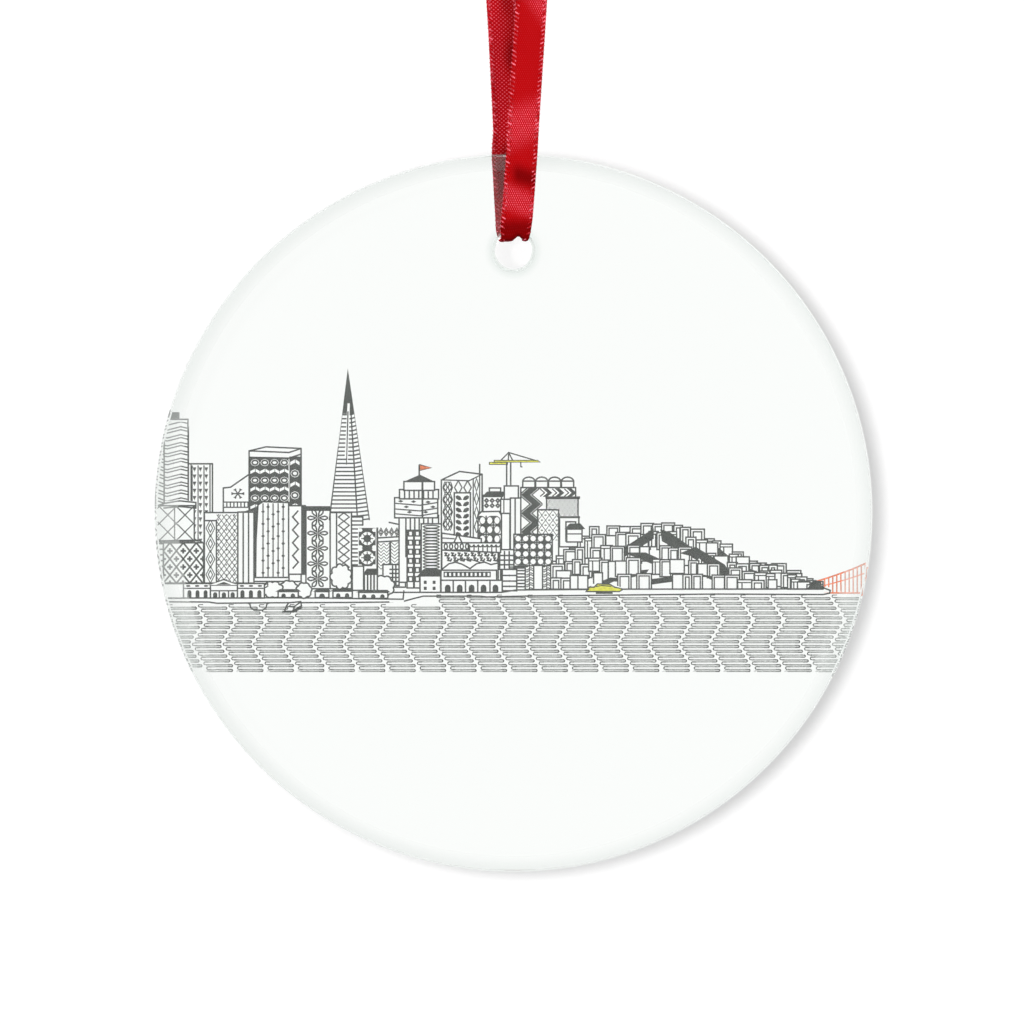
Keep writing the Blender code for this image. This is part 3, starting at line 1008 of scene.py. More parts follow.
def carved(x0, z0, x1, z1, across, up):
    """A dark ground with light ringed ovals and wing-shaped gaps."""
    plate.solid([(x0, z0), (x1, z0), (x1, z1), (x0, z1)])
    for index, z in enumerate(steps_between(z0, z1, up)[:-1]):
        for x in steps_between(x0, x1, across)[:-1]:
            cx, cz = x + across / 2, z + up / 2
            if index % 2:
                plate.clear(arc(cx, cz, across * 0.40, up * 0.40, steps=8))
                plate.line(arc(cx, cz, across * 0.27, up * 0.26, steps=8), 0.16, closed=True)
            else:
                plate.clear([(cx - across * 0.42, cz - up * 0.28), (cx, cz - up * 0.02), (cx, cz + up * 0.3), (cx - across * 0.42, cz + up * 0.05)])
                plate.clear([(cx + across * 0.06, cz - up * 0.02), (cx + across * 0.42, cz - up * 0.28), (cx + across * 0.42, cz + up * 0.05), (cx + across * 0.06, cz + up * 0.3)])


def leaves(x0, z0, x1, z1, up):
    cx, half = (x0 + x1) / 2, (x1 - x0) * 0.44
    for z in steps_between(z0, z1, up)[:-1]:
        for side in (-1, 1):
            plate.solid([(cx + side * 0.03, z + up * 0.12), (cx + side * half * 0.55, z + up * 0.05), (cx + side * half * 0.95, z + up * 0.35),
                         (cx + side * half, z + up * 0.72), (cx + side * half * 0.7, z + up * 0.86), (cx + side * half * 0.3, z + up * 0.66)])


def stars(x0, z0, x1, z1, across, up):
    """Square panes with dark four-pointed stars at every other crossing."""
    grid(x0, z0, x1, z1, across, up)
    for row, z in enumerate(steps_between(z0, z1, up)):
        for column, x in enumerate(steps_between(x0, x1, across)):
            if (row + column) % 2:
                for a, b in ((0, 1), (1, 0), (0, -1), (-1, 0)):
                    plate.solid([(x + a * across * 0.48, z + b * up * 0.48), (x + (b or a) * 0.2 * across, z + (a or b) * 0.2 * up), (x, z),
                                 (x + (-b or a) * 0.2 * across, z + (-a or b) * 0.2 * up)])
    for row, z in enumerate(steps_between(z0, z1, up)[:-1]):
        for column, x in enumerate(steps_between(x0, x1, across)[:-1]):
            plate.line(arc(x + across / 2, z + up / 2, across * 0.43, up * 0.43, steps=8), 0.09, closed=True)


def bold_zigzag(x0, z0, x1, z1, up, thick, fine=True):
    z, points, fine_points = z0, [], []
    flip = 0
    while z <= z1 + up:
        points.append((x0 + (x1 - x0) * (0.22 if flip % 2 else 0.72), z))
        flip += 1
        z += up / 2
    plate.line(points, thick)
    if fine:
        plate.line([(x + thick * 0.85 + 0.25, z) for x, z in points], 0.13)
        plate.line([(x - thick * 0.85 - 0.25, z) for x, z in points], 0.13)


def scales(x0, z0, x1, z1, across, up, width=0.05):
    for row, z in enumerate(steps_between(z0, z1, up)):
        for x in steps_between(x0 - across, x1 + across, across):
            cx = x + (across / 2 if row % 2 else 0)
            plate.line(arc(cx, z, across * 0.5, up * 0.95, 0, 180, 5), width)
            plate.line(arc(cx, z, across * 0.22, up * 0.5, 0, 180, 4), width)


def roundels(x0, z0, x1, z1, up):
    """A dark column of rosettes."""
    cx, wide = (x0 + x1) / 2, x1 - x0
    plate.solid([(x0, z0), (x1, z0), (x1, z1), (x0, z1)])
    for z in steps_between(z0, z1, up)[:-1]:
        cz = z + up / 2
        plate.clear(arc(cx, cz, wide * 0.40, up * 0.40, steps=10))
        plate.solid(arc(cx, cz, wide * 0.24, up * 0.24, steps=8))
        for dx, dz in ((-0.42, -0.5), (0.42, -0.5), (-0.42, 0.5), (0.42, 0.5)):
            plate.clear(arc(cx + dx * wide, cz + dz * up, wide * 0.15, up * 0.12, steps=6))
        for dx in (-0.4, 0.4):
            plate.clear(arc(cx + dx * wide, cz, wide * 0.07, up * 0.12, steps=6))
        for angle in range(0, 360, 45):
            c, s = math.cos(math.radians(angle)), math.sin(math.radians(angle))
            plate.line([(cx + c * wide * 0.2, cz + s * up * 0.2), (cx + c * wide * 0.36, cz + s * up * 0.36)], 0.1)


def herring(x0, z0, x1, z1, across, up, width=0.07):
    for index, x in enumerate(steps_between(x0, x1, across)[:-1]):
        for z in steps_between(z0, z1, up):
            rise = up * 0.9 * (1 if index % 2 else -1)
            plate.line([(x, z), (x + across, z + rise)], width)


def windows(x0, z0, x1, z1, count, tall=0.75, round_top=True):
    """A row of dark windows."""
    pitch = (x1 - x0) / count
    for index in range(count):
        cx = x0 + pitch * (index + 0.5)
        half, top = pitch * 0.24, z0 + (z1 - z0) * tall
        shape = [(cx - half, z0), (cx + half, z0)]
        shape += arc(cx, top - half, half, half, 0, 180, 4) if round_top else [(cx + half, top), (cx - half, top)]
        plate.solid(shape)


def ovals(x0, z0, x1, z1, count):
    pitch = (x1 - x0) / count
    for index in range(count):
        plate.solid(arc(x0 + pitch * (index + 0.5), (z0 + z1) / 2, pitch * 0.27, (z1 - z0) * 0.24, steps=8))


def tree(x, z, rx, rz, lobes=9, phase=0.0):
    outline = []
    for index in range(lobes * 5):
        angle = TAU * index / (lobes * 5)
        swell = 0.94 + 0.17 * abs(math.sin(lobes / 2 * angle + phase))
        outline.append((x + rx * swell * math.cos(angle), z + rz * swell * math.sin(angle)))
    plate.clear(arc(x, z, rx * 1.02, rz * 1.02, steps=18))
    plate.line(outline, 0.16, closed=True)


def pavilion(x0, z0, x1, z1, posts=2):
    """A low hall with a dark roof."""
    plate.box(x0, z0, x1, z1)
    height = (z1 - z0)
    plate.solid([(x0 - 0.35, z1), (x1 + 0.35, z1), (x1 - 0.05, z1 + height * 0.42), (x0 + 0.25, z1 + height * 0.42)])
    windows(x0 + 0.1, z0, x1 - 0.1, z1, posts, 0.7)


SHORE_LEFT, SHORE = -10.7, -9.85

# far towers on the left
plate.box(-46, -10.5, -43.3, 12.0)
panel(-46, -10.5, -43.3, 12.0, rafters, 1.0, 0.6)
plate.box(-43.3, -10.5, -40.35, 11.6)
panel(-43.3, 1.5, -40.35, 11.3, rafters, 0.98, 0.42)
plate.solid([(-42.9, 11.7), (-41.4, 11.7), (-41.4, 12.5), (-42.9, 12.5)])
plate.box(-40.35, -6.5, -37.35, 6.1)
panel(-39.95, -6.5, -37.75, 5.9, pennants, 0.72, 0.86)
plate.line([(-40.0, -6.5), (-40.0, 6.1)], 0.13)
plate.line([(-37.65, -6.5), (-37.65, 6.1)], 0.13)
plate.face([(-36.0, -6), (-32.5, -6), (-32.5, 5.0), (-35.1, 3.2), (-36.0, 3.1)])
for cx, cz in ((-34.2, 2.4), (-35.0, -0.6)):
    for angle in range(0, 360, 60):
        c, s = math.cos(math.radians(angle)), math.sin(math.radians(angle))
        plate.line([(cx, cz), (cx + 0.75 * c, cz + 0.6 * s)], 0.13)
        plate.solid([(cx + 0.3 * c, cz + 0.3 * s), (cx + 0.8 * c - 0.2 * s, cz + 0.65 * s + 0.2 * c), (cx + 0.8 * c + 0.2 * s, cz + 0.65 * s - 0.2 * c)])
plate.box(-36.0, 0.7, -32.5, 1.35, 0.13)
panel(-36.0, 0.7, -32.5, 1.35, uprights, 0.42, 0.13)
# carved tower
plate.face([(-32.8, -8.5), (-26.35, -8.5), (-26.35, 8.0), (-30.7, 8.2), (-32.8, 7.7)])
plate.line([(-32.8, 7.7), (-27.85, 7.5), (-26.35, 8.0)])
plate.line([(-32.8, 6.9), (-27.85, 6.8), (-26.35, 7.3)])
plate.line([(-27.85, -8.5), (-27.85, 7.5)])
panel(-32.75, 0.2, -27.9, 6.8, carved, 1.36, 1.1)
panel(-27.8, 0.2, -26.4, 7.0, carved, 1.36, 1.25)
plate.face([(-32.2, -8), (-31.7, 1.0), (-31.1, 1.4), (-27.9, 1.3), (-27.9, -8)])
plate.solid([(-32.2, -8), (-31.9, -8), (-31.8, 0.9), (-32.1, 0.6)])
panel(-31.7, -7.9, -27.95, 1.2, beads, 0.66, 1.6)
plate.box(-27.9, -7.6, -25.9, 0.9)
plate.line([(-27.4 + 0.7 * (i % 2), -6.9 + i * 0.8) for i in range(10)], 0.16)
plate.solid([(-26.35, -7.6), (-25.75, -7.6), (-25.75, 1.0), (-26.35, 1.0)])
# blossom tower and chain tower beside the spire
plate.box(-25.75, -9.4, -22.75, 0.6)
plate.solid([(-26.3, 0.25), (-22.75, 0.25), (-22.75, 0.85), (-26.3, 0.85)])
panel(-25.6, -9.2, -23.0, 0.25, blossoms, 2.05)
# tall tapering spire with bands
spire_tip, spire_foot = (-20.55, 17.9), -0.9
plate.clear([(-22.85, spire_foot), (-17.85, spire_foot), spire_tip])
plate.line([(-22.85, spire_foot), spire_tip, (-17.85, spire_foot)], 0.16)
start = len(plate.patches)
for z in steps_between(spire_foot, 13.2, 0.5):
    edge = -22.85 + (z - spire_foot) / (spire_tip[1] - spire_foot) * 2.3
    corner = -19.35 + (z - spire_foot) / (spire_tip[1] - spire_foot) * -1.15
    right = -17.85 + (z - spire_foot) / (spire_tip[1] - spire_foot) * -2.7
    plate.line([(edge, z), (corner, z), (right, z + 0.18)], 0.15)
plate.line([(-19.35, spire_foot), (-20.5, spire_tip[1])], 0.14)
plate.solid([(-21.25, 12.3), (-19.75, 12.3), spire_tip])
plate.clear([(-20.95, 7.0), (-20.55, 6.4), (-20.3, 13.6), (-20.6, 13.6)])
plate.solid([(-20.78, 6.0), (-20.66, 6.0), (-20.45, 12.6), (-20.62, 12.6)])
plate.cut([(-22.9, spire_foot), (-17.8, spire_foot), spire_tip], start, True)
plate.box(-22.75, -9.4, -20.1, 0.05)
plate.line([(-21.95, -9.4), (-21.95, 0.05)])
panel(-21.85, -9.3, -20.2, 0.0, lozenges, 1.6, 1.05)
plate.box(-20.1, -9.4, -18.7, -0.5)
panel(-20.1, -9.4, -18.7, -0.5, bands, 0.5)

# round hall and cross trellis at the left edge
plate.box(-46, -3.5, -39.6, 0.9)
panel(-46, -3.4, -39.6, 0.8, trellis, 2.1, 2.1, 0.12)
plate.line([(-42.0, -3.5), (-42.0, 0.9)], 0.12)
plate.clear([(-43.4, 1.0), (-39.4, 1.0), (-39.4, 1.45), (-41.5, 1.6), (-43.0, 1.4)])
plate.line([(-45, 0.6), (-43.2, 1.2), (-41.4, 1.5), (-39.4, 1.3), (-39.4, 0.6), (-41.4, 0.8), (-43.4, 0.6)])
plate.line([(-45, -3.5), (-39.0, -3.4), (-38.6, -3.7)], 0.2)
plate.box(-43.4, -8.7, -38.45, -3.7)
panel(-43.4, -8.7, -38.45, -3.7, trellis, 1.62, 2.0, 0.17, True)
plate.box(-46, -8.7, -43.4, -3.8)
panel(-46, -8.7, -43.4, -3.8, grid, 0.7, 0.7)
plate.box(-38.35, -8.7, -34.2, 0.05)
panel(-36.9, -8.7, -34.3, -0.2, trellis, 0.66, 0.86, 0.08, False, False)
for row in range(14):
    for column in range(3):
        plate.solid(arc(-36.6 + column * 0.98, -8.3 + row * 0.62, 0.1, 0.1, steps=6))
plate.box(-38.35, -8.7, -36.85, -0.95)
panel(-38.25, -8.7, -36.95, -1.0, lozenges, 1.3, 2.1, True, 0.1)
plate.box(-34.2, -8.7, -32.2, 0.1)
panel(-34.2, -8.7, -32.2, 0.0, uprights, 0.62)
plate.line([(-34.2, 0.1), (-33.2, 0.15), (-32.2, 0.55)])

# middle left: rosette hall
plate.face([(-19.3, -9.2), (-13.4, -9.2), (-13.4, -1.6), (-15.5, -1.15), (-17.3, -1.2), (-19.3, -1.75)])
plate.line([(-19.3, -1.75), (-17.0, -1.75), (-13.4, -1.6)], 0.13)
panel(-19.2, -6.6, -17.1, -1.85, roundels, 2.1)
plate.line([(-16.9, -9), (-16.9, -1.8)], 0.2)
panel(-16.8, -2.9, -13.5, -1.8, lozenges, 0.7, 1.05, True, 0.08)
plate.line([(-16.9, -3.1), (-13.4, -2.9)])
plate.line([(-16.9, -3.6), (-13.4, -3.4)])
panel(-16.8, -7.0, -15.4, -3.7, herring, 0.34, 0.42)
panel(-15.2, -7.0, -13.5, -3.6, herring, 0.42, 0.42)
plate.line([(-15.3, -7), (-15.3, -3.5)], 0.2)

# stepped tower with a plain pennant
plate.box(-14.2, -8.6, -9.3, -0.3)
panel(-13.9, -5.5, -9.5, -0.3, uprights, 0.55)
plate.box(-14.75, -0.6, -9.4, 1.9)
plate.line([(-14.75, 1.2), (-11.6, 0.95), (-9.4, 1.3)], 0.13)
plate.line([(-14.75, 0.5), (-11.6, 0.25), (-9.4, 0.6)], 0.13)
plate.line([(-14.75, -0.1), (-11.6, -0.35), (-9.4, 0.0)], 0.13)
for index, (x, z) in enumerate(((-14.0, 1.45), (-13.3, 0.75), (-12.4, 1.4), (-12.9, 0.1), (-10.6, 1.35), (-10.0, 0.75), (-10.9, 0.1))):
    plate.solid([(x - 0.35, z), (x, z - 0.16), (x + 0.35, z), (x, z + 0.18)])
plate.box(-14.15, 1.75, -9.3, 2.9)
panel(-14.1, 1.75, -9.4, 2.75, uprights, 0.62)
plate.box(-13.6, 2.8, -9.8, 3.9)
plate.line([(-11.3, -0.6), (-11.3, 3.9)], 0.2)
plate.solid([(-13.7, 3.85), (-9.7, 3.85), (-11.6, 4.75)])
plate.line([(-11.7, 4.6), (-11.7, 6.0)])
plate.solid([(-11.65, 5.25), (-11.65, 6.0), (-10.15, 5.6)], "orange")
plate.line([(-11.7, 5.25), (-10.15, 5.6), (-11.7, 6.02)], 0.1)

# tall box tower with leaf panel
plate.face([(-8.95, -8.0), (-5.0, -8.0), (-3.9, -8.0), (-3.9, 4.8), (-6.7, 5.15), (-8.95, 4.1)])
plate.line([(-8.95, 4.1), (-5.5, 4.0), (-3.9, 4.8)], 0.13)
plate.line([(-5.0, -8.0), (-5.0, 4.3)], 0.13)
panel(-8.8, -2.2, -7.5, 3.9, lozenges, 1.25, 1.6)
panel(-8.8, -2.2, -7.5, 3.9, lozenges, 0.62, 1.6)
panel(-7.4, 2.3, -5.1, 4.0, lozenges, 1.1, 1.7)
panel(-4.9, -2.5, -4.25, 4.4, lozenges, 0.62, 1.6)
plate.line([(-4.2, -2.5), (-4.2, 4.7)], 0.13)
plate.box(-7.35, -3.4, -5.35, 2.5)
panel(-7.3, -3.0, -5.4, 2.3, leaves, 0.76)
plate.line([(-4.2, 4.6), (-4.2, 6.1)])

# crane
plate.line([(-0.85, 3.4), (-0.85, 6.3)])
plate.line([(-0.35, 3.4), (-0.35, 6.3)])
plate.line([(-1.6, 6.5), (-0.6, 7.5), (-0.1, 6.5)], 0.13)
plate.line([(-0.6, 7.5), (-0.65, 6.5)], 0.13)
plate.line([(-0.6, 7.5), (2.6, 6.55)], 0.13)
plate.solid([(-3.0, 6.02), (-0.75, 6.02), (-0.75, 6.26), (-3.0, 6.26)], "yellow")
plate.line([(-3.0, 6.02), (-0.75, 6.02), (-0.75, 6.28), (-3.0, 6.28)], 0.09, closed=True)
plate.solid([(-2.4, 6.32), (3.1, 6.32), (3.1, 6.5), (-2.4, 6.5)], "yellow")
plate.line([(-2.4, 6.3), (3.3, 6.3), (3.0, 6.53), (-2.4, 6.53)], 0.09, closed=True)
plate.line([(0.9, 6.3), (0.9, 5.75), (1.1, 5.7)], 0.12)

# little roofs and tall plain boxes
plate.box(-3.0, 2.6, -1.6, 3.1)
plate.box(-3.8, -2.0, -1.5, 2.2)
plate.solid([(-3.95, 1.95), (-1.3, 1.95), (-1.1, 2.65), (-3.3, 2.65)])
panel(-3.7, 0.6, -1.6, 1.85, lozenges, 0.7, 0.62, True, 0.07)
plate.box(-1.15, -9, 0.6, 3.35)
plate.box(-1.6, -9, -0.4, 1.7)
plate.line([(-1.2, -9), (-1.2, 1.7)], 0.12)
plate.box(-0.4, -9, 1.05, 1.85)
plate.line([(0.2, -9), (0.2, 1.85)])

# bold zigzag tower with four small domes
for index in range(4):
    cx = 1.9 + index * 1.6
    plate.box(cx - 0.76, 3.0, cx + 0.76, 3.95)
    plate.clear([(cx - 0.76, 3.9)] + arc(cx, 3.9, 0.76, 0.55, 0, 180, 8))
    plate.line(arc(cx, 3.9, 0.76, 0.55, 0, 180, 8))
plate.box(0.9, -3.6, 7.7, 3.15)
panel(0.9, -3.5, 3.6, 3.1, bold_zigzag, 2.3, 0.62)
for index in range(3):
    x = 3.6 + index * 1.5
    plate.solid([(x, 2.0), (x + 0.6, 2.0), (x + 1.2, 2.5), (x + 0.6, 2.5)])
    plate.solid([(x + 0.6, 2.5), (x + 1.2, 2.5), (x + 0.6, 3.05), (x, 3.05)])
    plate.line([(x - 0.3, 2.05), (x + 0.25, 2.5), (x - 0.3, 3.0)], 0.12)
plate.box(4.1, -2.0, 8.0, 1.8)
plate.line([(3.95, 1.9), (8.25, 1.9)], 0.26)
panel(4.2, -1.9, 7.9, 1.75, scales, 0.62, 0.42)
plate.box(3.0, -6.0, 5.6, 0.4)
panel(3.05, -3.4, 5.55, 0.35, trellis, 0.92, 1.25, 0.07, False, True)
plate.box(5.7, -4.2, 8.1, -0.55)
plate.solid([(5.6, -0.65), (8.25, -0.65), (8.25, -0.4), (5.6, -0.4)])
plate.box(6.5, -3.5, 7.7, -1.1)
plate.box(6.9, -3.5, 7.7, -1.5)

# pane towers
plate.face([(-4.4, -6.2), (-1.5, -6.2), (-1.5, -0.3), (-1.8, 0.2), (-4.0, 0.15), (-4.4, -0.25)])
panel(-4.3, -3.8, -1.6, -0.35, stars, 0.9, 1.15)
plate.box(-1.5, -9, -0.45, -0.05)
plate.box(0.05, -6.6, 4.8, -2.65)
panel(0.1, -6.5, 4.75, -2.7, stars, 0.94, 0.95)
plate.box(-2.3, -7.0, 0.05, -4.55)
panel(-2.3, -7.0, 0.05, -4.7, grid, 0.6, 0.6)

# column of slots, column of small squares
plate.box(-11.45, -7.6, -8.95, -1.35)
for index in range(15):
    plate.line(arc(-10.2, -7.1 + index * 0.385, 0.98, 0.17, steps=12), 0.12, closed=True)
plate.box(-11.45, -7.6, -8.95, -7.45)
plate.box(-13.2, -9.3, -11.5, -2.15)
plate.line([(-12.35, -9.3), (-12.35, -2.15)], 0.22)
for index in range(6):
    for side in (-0.42, 0.42):
        cx, cz = -12.35 + side, -8.2 + index * 1.13
        plate.line([(cx - 0.25, cz - 0.3), (cx + 0.25, cz - 0.3), (cx + 0.25, cz + 0.3), (cx - 0.25, cz + 0.3)], 0.14, closed=True)
    plate.solid([(-12.6, -8.2 + index * 1.13), (-12.35, -8.45 + index * 1.13), (-12.1, -8.2 + index * 1.13), (-12.35, -7.95 + index * 1.13)])
plate.box(-16.2, -9.0, -14.2, -6.4)
panel(-15.4, -9.0, -14.2, -6.5, grid, 0.42, 0.5)

# low roofs in the middle
plate.face([(-8.9, -6.2), (-4.0, -6.2), (-4.0, -3.2), (-8.9, -2.5)])
plate.line([(-7.4, -3.7), (-6.9, -2.6), (-6.4, -3.7)])
plate.line([(-8.9, -3.1), (-7.3, -3.2)], 0.13)
plate.box(-8.9, -4.6, -5.5, -3.7)
for index in range(5):
    plate.line(arc(-8.4 + index * 0.66, -4.15, 0.2, 0.34, steps=8), 0.14, closed=True)
plate.box(-5.6, -4.9, -1.6, -3.7)
for index in range(7):
    plate.line(arc(-5.2 + index * 0.55, -3.95, 0.25, 0.25, 180, 360, 5), 0.14)
    plate.line([(-5.45 + index * 0.55, -4.9), (-5.45 + index * 0.55, -3.9)], 0.13)
plate.face([(-8.9, -8.6), (-1.9, -8.6), (-1.9, -4.9), (-8.9, -4.6)])
for row, z in enumerate((-5.15, -5.75)):
    for index in range(8):
        x = -8.6 + index * 0.82 + 0.3 * row
        plate.line([(x, z + 0.2), (x + 0.3, z + 0.15), (x + 0.15, z - 0.12), (x + 0.5, z - 0.2), (x + 0.62, z + 0.1)], 0.17)
plate.line([(-8.9, -7.0), (-8.0, -6.3), (-7.2, -6.1), (-6.4, -6.35), (-5.4, -6.9), (-4.6, -6.3), (-3.6, -6.1), (-2.8, -6.4), (-1.9, -6.2)], 0.15)
plate.line([(-7.6, -6.2), (-6.6, -5.7), (-5.2, -5.8), (-3.9, -6.2)], 0.12)
plate.box(-9.0, -8.35, -2.1, -7.1)
for index in range(11):
    plate.line([(-8.6 + index * 0.53, -7.9), (-8.2 + index * 0.53, -7.9), (-8.2 + index * 0.53, -7.35), (-8.6 + index * 0.53, -7.35)], 0.13, closed=True)
plate.box(-9.0, SHORE, -1.4, -8.35)
panel(-9.0, SHORE, -1.4, -8.35, uprights, 1.5)
windows(-8.9, SHORE, -1.5, -8.5, 5, 0.72)
plate.box(-11.6, SHORE, -9.05, -7.8)
plate.solid([(-12.0, -7.9), (-9.0, -7.9), (-9.0, -7.0), (-11.2, -7.0)])
for x in (-10.95, -9.85):
    for z in (-8.6, -9.35):
        plate.solid([(x - 0.18, z - 0.2), (x + 0.18, z - 0.2), (x + 0.18, z + 0.2), (x - 0.18, z + 0.2)])
plate.box(-1.4, SHORE + 0.2, 0.4, -7.0)
for z in (-7.75, -8.45, -9.1):
    plate.line([(-1.4, z), (0.4, z)])
    plate.solid([(-0.75, z), (-0.5, z - 0.13), (-0.25, z), (-0.5, z + 0.13)])
plate.box(0.4, SHORE + 0.3, 1.45, -6.75)
panel(0.4, SHORE + 0.3, 1.45, -6.75, bands, 0.42)
plate.solid([(-0.5, -6.95), (1.5, -6.95), (1.5, -6.6), (-0.5, -6.6)], "wash_dark")
for x in (1.45, 3.6):
    plate.box(x, SHORE + 0.35, x + 1.05, -6.55)
    panel(x + 0.1, SHORE + 0.35, x + 0.95, -6.6, rafters, 0.62, 0.3, 0.1)
    plate.line([(x + 0.52, SHORE + 0.35), (x + 0.52, -6.6)], 0.1)
plate.box(2.5, SHORE + 0.35, 3.6, -6.5)

# hill of stepped houses on the right
hill = [(4.5, -5.0), (8.0, -4.0), (10.0, -1.5), (13.0, -1.6), (19.5, -1.3), (22.5, -2.0), (24.0, -2.9), (26.5, -4.0), (30.0, -6.1), (33.0, -6.3),
        (36.0, -7.9), (38.0, -9.1)]


def hill_top(x):
    for (x0, z0), (x1, z1) in zip(hill, hill[1:]):
        if x0 <= x <= x1:
            return z0 + (z1 - z0) * (x - x0) / (x1 - x0)
    return -9.3


HILL_FOOT = -9.45
chance = random.Random(7)
streets = {1: [[(8.6, -4.2), (8.9, -4.6), (13.2, -3.2), (13.2, -2.5)], [(24.6, -3.6), (28.9, -7.2), (28.2, -7.4), (24.4, -5.2)]],
           2: [[(7.0, -8.6), (8.4, -8.8), (17.4, -3.2), (17.4, -1.9)], [(18.2, -2.0), (19.4, -2.4), (23.4, -5.2), (22.8, -5.9), (18.4, -3.5)],
               [(28.0, -6.4), (35.2, -9.2), (33.0, -9.2), (27.2, -7.3)]],
           3: [[(13.6, -4.9), (16.4, -4.9), (20.8, -6.9), (19.6, -7.3)], [(20.6, -5.0), (22.6, -4.2), (26.2, -6.4), (27.6, -8.6), (26.0, -8.4), (23.0, -5.6)],
               [(10.8, -7.6), (13.4, -8.3), (16.4, -7.6), (16.8, -7.0)]],
           4: [[(9.0, -9.3), (12.0, -8.0), (13.4, -8.1), (10.4, -9.4)], [(17.0, -8.2), (20.4, -7.8), (20.8, -8.4), (17.0, -8.9)],
               [(23.2, -7.6), (25.8, -8.0), (28.4, -9.4), (26.6, -9.4)]]}
for row in range(5):
    x = 4.6 + 0.7 * (row % 2)
    for corners in streets.get(row, ()):
        plate.solid(corners)
    while x < 37.4:
        wide = chance.uniform(1.05, 1.85)
        top = HILL_FOOT + (hill_top(x + wide / 2) - HILL_FOOT) * (1 - row * 0.2) + chance.uniform(-0.25, 0.25) + 0.5 * (row > 0)
        tall = chance.uniform(1.5, 2.6) if row < 4 else 9
        foot = max(HILL_FOOT, top - tall)
        skip = chance.random()
        if top - foot > 0.5 and skip > 0.08 + 0.05 * row:
            plate.box(x, foot, x + wide, top, 0.15)
            style = chance.random()
            inset = chance.uniform(0.24, 0.34)
            if style < 0.62:
                plate.line([(x + inset, foot), (x + inset, top - inset), (x + wide - inset, top - inset), (x + wide - inset, foot)], 0.14)
            elif style < 0.8:
                plate.line([(x, top - 0.35), (x + wide, top - 0.35)], 0.12)
                plate.line([(x + wide * 0.3, foot), (x + wide * 0.3, top - 0.35)], 0.13)
        x += wide * chance.uniform(0.72, 1.05)
plate.face([(6.6, -3.6), (8.5, -3.6), (8.5, -2.0), (6.6, -2.0)])
plate.line([(6.6, -2.6), (8.5, -2.6)], 0.13)
plate.solid([(6.3, -2.0), (8.9, -2.0), (8.3, -1.3), (7.0, -1.3)])
plate.solid([(36.4, -9.45), (38.9, -9.45), (37.2, -8.3)])

# suspension bridge running off the right edge
def bridge_line(z_near, z_far, x):
    t = (x - 37.3) / (45.0 - 37.3)
    return z_near + (z_far - z_near) * (0.72 * t + 0.28 * t * t)


start = len(plate.patches)
for near, far, width in ((-8.55, -5.6, 0.2), (-9.3, -6.9, 0.14)):
    plate.line([(37.3 + 0.55 * i, bridge_line(near, far, 37.3 + 0.55 * i)) for i in range(15)], width, "orange")
for index in range(15):
    x = 37.6 + index * 0.5
    plate.line([(x, -9.9 if x > 39.2 else -9.2), (x, bridge_line(-8.55, -5.6, x))], 0.17, "orange")
plate.line([(38.5, -9.92), (46, -9.92)], 0.2, "orange")

# shore strip
plate.clear([(-13.4, -10.3), (38.2, -10.1), (39.35, -9.8), (39.0, -9.45), (38.2, -9.42), (0.4, -9.55), (-1.3, SHORE), (-13.4, SHORE)])
plate.line([(-17.5, SHORE - 0.1), (-16.3, SHORE), (-1.5, SHORE), (0.4, -9.55), (15, -9.45), (37.5, -9.42), (38.6, -9.35), (39.3, -9.6), (39.2, -9.95), (38.4, -10.12),
            (25, -10.06), (2.0, -10.3), (-3.2, -10.42), (-4.2, -10.32), (-11.2, -10.32), (-12.4, -10.62), (-13.6, -10.95), (-15.5, -11.05)], 0.15)

# left shore arcades, trees and halls
plate.clear([(-43.5, -11.1), (-13.6, -11.1), (-13.6, -10.6), (-43.5, -10.6)])
plate.line([(-45, -10.62), (-37, -10.5), (-24, -10.55), (-13.7, -10.7), (-13.6, -9.6)], 0.15)
plate.line([(-45, -11.0), (-37.8, -11.05), (-36.8, -11.2), (-31, -11.15), (-20, -11.1), (-15.4, -11.05)], 0.15)
tree(-21.4, -7.9, 1.25, 1.45, 9)
tree(-27.9, -9.4, 1.1, 0.95, 8, 0.4)
tree(-29.9, -9.5, 1.25, 0.95, 8)
tree(-26.0, -9.6, 0.9, 0.9, 7, 0.9)
tree(-16.2, -9.1, 1.35, 1.25, 8, 0.5)
plate.box(-46, -10.55, -40.9, -8.75)
plate.box(-40.9, -10.55, -37.6, -8.75)
plate.line([(-40.9, -9.35), (-37.6, -9.35)], 0.13)
ovals(-40.9, -9.3, -37.6, -8.8, 3)
windows(-40.7, -10.5, -37.7, -9.4, 3, 0.85)
plate.box(-34.25, -10.55, -30.9, -8.75)
plate.line([(-34.25, -9.35), (-30.9, -9.35)], 0.13)
ovals(-34.25, -9.3, -30.9, -8.8, 3)
windows(-34.15, -10.5, -31.0, -9.4, 3, 0.85)
plate.box(-37.6, -10.55, -34.25, -8.95)
plate.face([(-37.8, -8.95), (-34.1, -8.95), (-35.95, -8.25)])
plate.solid([(-36.9, -8.9), (-35.0, -8.9), (-35.95, -8.55)])
plate.line([(-37.6, -9.65), (-34.25, -9.65)], 0.13)
for x in (-36.5, -35.35):
    plate.line([(x, -10.55), (x, -9.65)], 0.14)
windows(-37.55, -10.5, -34.3, -9.7, 3, 0.85)
plate.line([(-30.9, -8.75), (-30.5, -8.7), (-30.5, -9.1), (-30.9, -9.3)], 0.13)
pavilion(-29.2, -10.5, -26.7, -9.75, 2)
pavilion(-24.6, -10.5, -22.9, -9.75, 1)
pavilion(-22.4, -10.5, -20.0, -9.7, 2)
plate.box(-18.5, -9.9, -16.9, -7.6)
